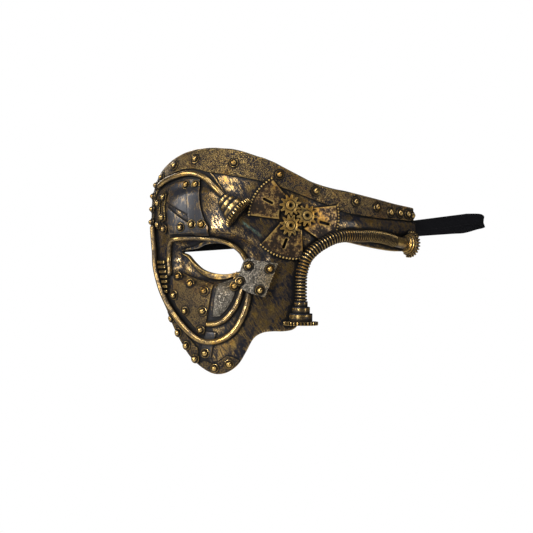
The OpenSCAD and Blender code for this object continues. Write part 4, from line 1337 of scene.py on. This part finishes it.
class MASK_OT_rivets(MaskOperator):
    """Every domed rivet, each row on the piece that it holds"""
    bl_idname, bl_label = "mask.rivets", "Rivets"

    def make(self, sizes):
        corner = [(p, CORNER_H + CORNER_T + float(corner_relief(p) - relief(*p))) for p in CORNER_SPOTS]
        rows = [("band_rivet_row", "band_rivets", [(p, BAND_T) for p in BAND_SPOTS]),
                ("arm_end_rivet_row", "arm_end_rivets", [(p, BAND_T) for p in ARM_SPOTS]),
                ("brow_rivet_row", "brow_rivets", [(p, PLATE_T + LINK_T) for p in STRAP_SPOTS]
                 + [(p, LINK_T) for p in LINK_SPOTS] + [(p, PLATE_T) for p in PLATE_SPOTS]),
                ("cheek_rivet_row", "cheek_rivets", [(p, PLATE_T) for p in CHEEK_SPOTS]),
                ("corner_rivet_row", "corner_rivets", corner + [(INSERT_SPOT, PLATE_T)]),
                ("jaw_rivet_row", "jaw_rivets", [(p, PLATE_T) for p in STRIP_SPOTS + JAW_SPOTS]
                 + [(JAW_STRAP_SPOT, LINK_T)])]
        for i, (name, node, spots) in enumerate(rows):
            SEATS.extend(spot(p, h) for p, h in spots)
            row = repeated(name, rivet(), [stand(p, h) for p, h in spots], paint("gold_rivet"), spin=180,
                           spread=sizes.rivet_spread, seed=20 + i)
            piece(name, row, "gold_rivet", node)


INSIDE = -WALL - ELASTIC_T / 2 - 0.6


def elastic_route():
    """From inside the arm's end, back to a fold, and forward to inside the far edge."""
    near, far = np.array(NEAR_SPOT, float), np.array(FAR_SPOT, float)
    fold = skin(np.array(ARM_END), np.array(0.0)) + [-12, ELASTIC_REACH, 0]
    lead_out, fold_out = spot(near + [6, 1], INSIDE), fold + [3, -16, 31]
    fold_in, lead_in = fold + [-5, -14, 25], spot(far + [6, 1], INSIDE - 2)
    runs = [0.04, 0.15, 0.5, 0.85, 0.96]
    points = ([spot(near + [-4, 0], INSIDE), spot(near + [1, 0], INSIDE), lead_out]
              + [lead_out + (fold_out - lead_out) * f for f in runs]
              + [fold_out, fold + [1.6, -5, 31], fold + [0.4, -1, 29.5], fold + [-1, -1, 28.5],
                 fold + [-2.6, -5, 27.5], fold_in]
              + [fold_in + (lead_in - fold_in) * f for f in runs]
              + [lead_in, spot(far + [1, 0], INSIDE), spot(far + [-4, 0], INSIDE)])
    return curve(points, 6)


class MASK_OT_elastic(MaskOperator):
    """The elastic band and the two rivets that hold its ends"""
    bl_idname, bl_label = "mask.elastic", "Elastic"

    def make(self, sizes):
        path = elastic_route()
        ups = unit(np.cross([0, 0, 1.0], unit(np.gradient(path, axis=0))))
        w, t, soft = ELASTIC_W / 2, ELASTIC_T / 2, 0.3
        across = np.linspace(-w + soft, w - soft, 17)
        section = ([(x, -t) for x in across] + [(w, -t + soft), (w, t - soft)]
                   + [(x, t) for x in across[::-1]] + [(-w, t - soft), (-w, -t + soft)])
        band = sweep(path, ups, section)
        piece("elastic_band", band, "black_elastic", "elastic_strap")
        for name, node, p in (("near_elastic_rivet", "near_strap_rivet", NEAR_SPOT),
                              ("far_elastic_rivet", "far_strap_rivet", FAR_SPOT)):
            origin, axes = stand(p, INSIDE - ELASTIC_T / 2)
            held = repeated(name, rivet(), [(origin, axes @ np.diag([1.0, -1.0, -1.0]))],
                            paint("gold_rivet"))
            piece(name, held, "gold_rivet", node)


class MASK_OT_hollows(MaskOperator):
    """Marks the hollows, for painted shade and the paint's black wash there"""
    bl_idname, bl_label = "mask.hollows", "Hollows"

    def make(self, sizes):
        shade_hollows()


VIEW_TARGET, VIEW_WIDTH, LENS, SENSOR = Vector((37.4, 64.8, -3.15)), 0.3731, 200, 36
VIEW_ANGLE = math.radians(60)
TO_CAMERA = Vector((math.sin(VIEW_ANGLE), -math.cos(VIEW_ANGLE), 0))
TO_RIGHT, UPWARD = Vector((0.5, 0.866, 0)), Vector((0, 0, 1))
FLOOR_T = 6
# name, place from the mask's middle (towards the camera, to the right, up) in metres, width and height, power
LIGHTS = (("key", (0.85, -0.4, 0.6), (0.5, 0.5), 11.5),
          ("left", (1.0, -0.64, 0.04), (0.07, 0.1), 8),
          ("front", (0.3, -0.95, 0.3), (0.3, 0.5), 8),
          ("right", (0.66, 0.95, 0.06), (0.1, 0.2), 5),
          ("top", (0.25, 0.15, 1.0), (0.6, 0.4), 8),
          ("behind", (-0.9, -0.4, 0.5), (0.6, 0.6), 8))


class MASK_OT_stage(MaskOperator):
    """The floor, the soft lights and the camera"""
    bl_idname, bl_label = "mask.stage", "Stage"

    def make(self, sizes):
        scene = bpy.context.scene
        settings = scene.mask_stage
        low, high = FRAME_BOX
        scene.view_settings.view_transform = "Standard"
        camera = bpy.data.cameras.new("camera")
        camera.lens, camera.sensor_width = LENS, SENSOR
        camera.clip_start, camera.clip_end = 0.05, 50
        holder = bpy.data.objects.new("camera", camera)
        holder.location = VIEW_TARGET * MM + TO_CAMERA * (VIEW_WIDTH * LENS / SENSOR)
        holder.rotation_euler = (-TO_CAMERA).to_track_quat("-Z", "Y").to_euler()
        scene.collection.objects.link(holder)
        scene.camera = holder
        floor = lathe([(0, 0), (1.1, 0), (1.1, 0.004), (1.096, 0.006), (0, 0.006)], 96)
        floor.points = floor.points / MM
        floor.points[:, 2] += low.z / MM - settings.floor_drop / MM - FLOOR_T
        floor.points[:, :2] += np.array([37.4, 64.8])
        ground = bpy.data.objects.new("floor", floor.mesh("floor"))
        scene.collection.objects.link(ground)
        p = Paint("pale_floor")
        ground.data.materials.append(p.shine(p.mix((0.8, 0.8, 0.8, 1), (0.84, 0.84, 0.84, 1),
                                                   p.noise(p.place, 0.02)), 0.0, 0.8))
        world = bpy.data.worlds.new("studio")
        scene.world = world
        world.use_nodes = True
        g = Graph(world.node_tree)
        seen = g.node("ShaderNodeLightPath", out="Is Camera Ray")
        g.node("ShaderNodeOutputWorld", {"Surface": g.node(
            "ShaderNodeBackground", {"Color": (1, 1, 1, 1), "Strength": seen * 0.92 + 0.08})})
        centre = (low + high) / 2
        for name, (near, right, over), size, power in LIGHTS:
            place = TO_CAMERA * near + TO_RIGHT * right + UPWARD * over
            lamp = bpy.data.lights.new(name, "AREA")
            lamp.shape, lamp.size, lamp.size_y = "RECTANGLE", size[0], size[1]
            lamp.energy = power * settings.light
            light = bpy.data.objects.new(name, lamp)
            light.location = centre + place
            light.rotation_euler = (-place).to_track_quat("-Z", "Y").to_euler()
            scene.collection.objects.link(light)


class MASK_PT_panel(bpy.types.Panel):
    """Shows the settings and the steps"""
    bl_label, bl_idname = "Half Mask", "MASK_PT_panel"
    bl_space_type, bl_region_type, bl_category = "VIEW_3D", "UI", "Half Mask"

    def draw(self, context):
        scene = context.scene
        for settings in (scene.mask_sizes, scene.mask_finish, scene.mask_stage):
            box = self.layout.box()
            for key in settings.__annotations__:
                box.prop(settings, key)
        for operator in OPERATORS:
            self.layout.operator(operator.bl_idname)


OPERATORS = (MASK_OT_stage, MASK_OT_shell, MASK_OT_band, MASK_OT_brow, MASK_OT_eye, MASK_OT_pipes,
             MASK_OT_comb, MASK_OT_cheek, MASK_OT_jaw, MASK_OT_fan, MASK_OT_gears, MASK_OT_hose,
             MASK_OT_rivets, MASK_OT_elastic, MASK_OT_hollows)
CLASSES = (MaskSizes, MaskFinish, MaskStage, *OPERATORS, MASK_PT_panel)


def register():
    """Adds the settings, the steps and the panel."""
    for cls in CLASSES:
        bpy.utils.register_class(cls)
    bpy.types.Scene.mask_sizes = bpy.props.PointerProperty(type=MaskSizes)
    bpy.types.Scene.mask_finish = bpy.props.PointerProperty(type=MaskFinish)
    bpy.types.Scene.mask_stage = bpy.props.PointerProperty(type=MaskStage)


def unregister():
    """Takes them away again."""
    for key in ("mask_sizes", "mask_finish", "mask_stage"):
        delattr(bpy.types.Scene, key)
    for cls in reversed(CLASSES):
        bpy.utils.unregister_class(cls)


def main():
    """Runs every step."""
    register()
    for operator in OPERATORS:
        group, name = operator.bl_idname.split(".")
        result = getattr(getattr(bpy.ops, group), name)()
        if result != {"FINISHED"}:
            raise RuntimeError(f"{operator.bl_idname} did not finish")


if __name__ == "__main__":
    main()
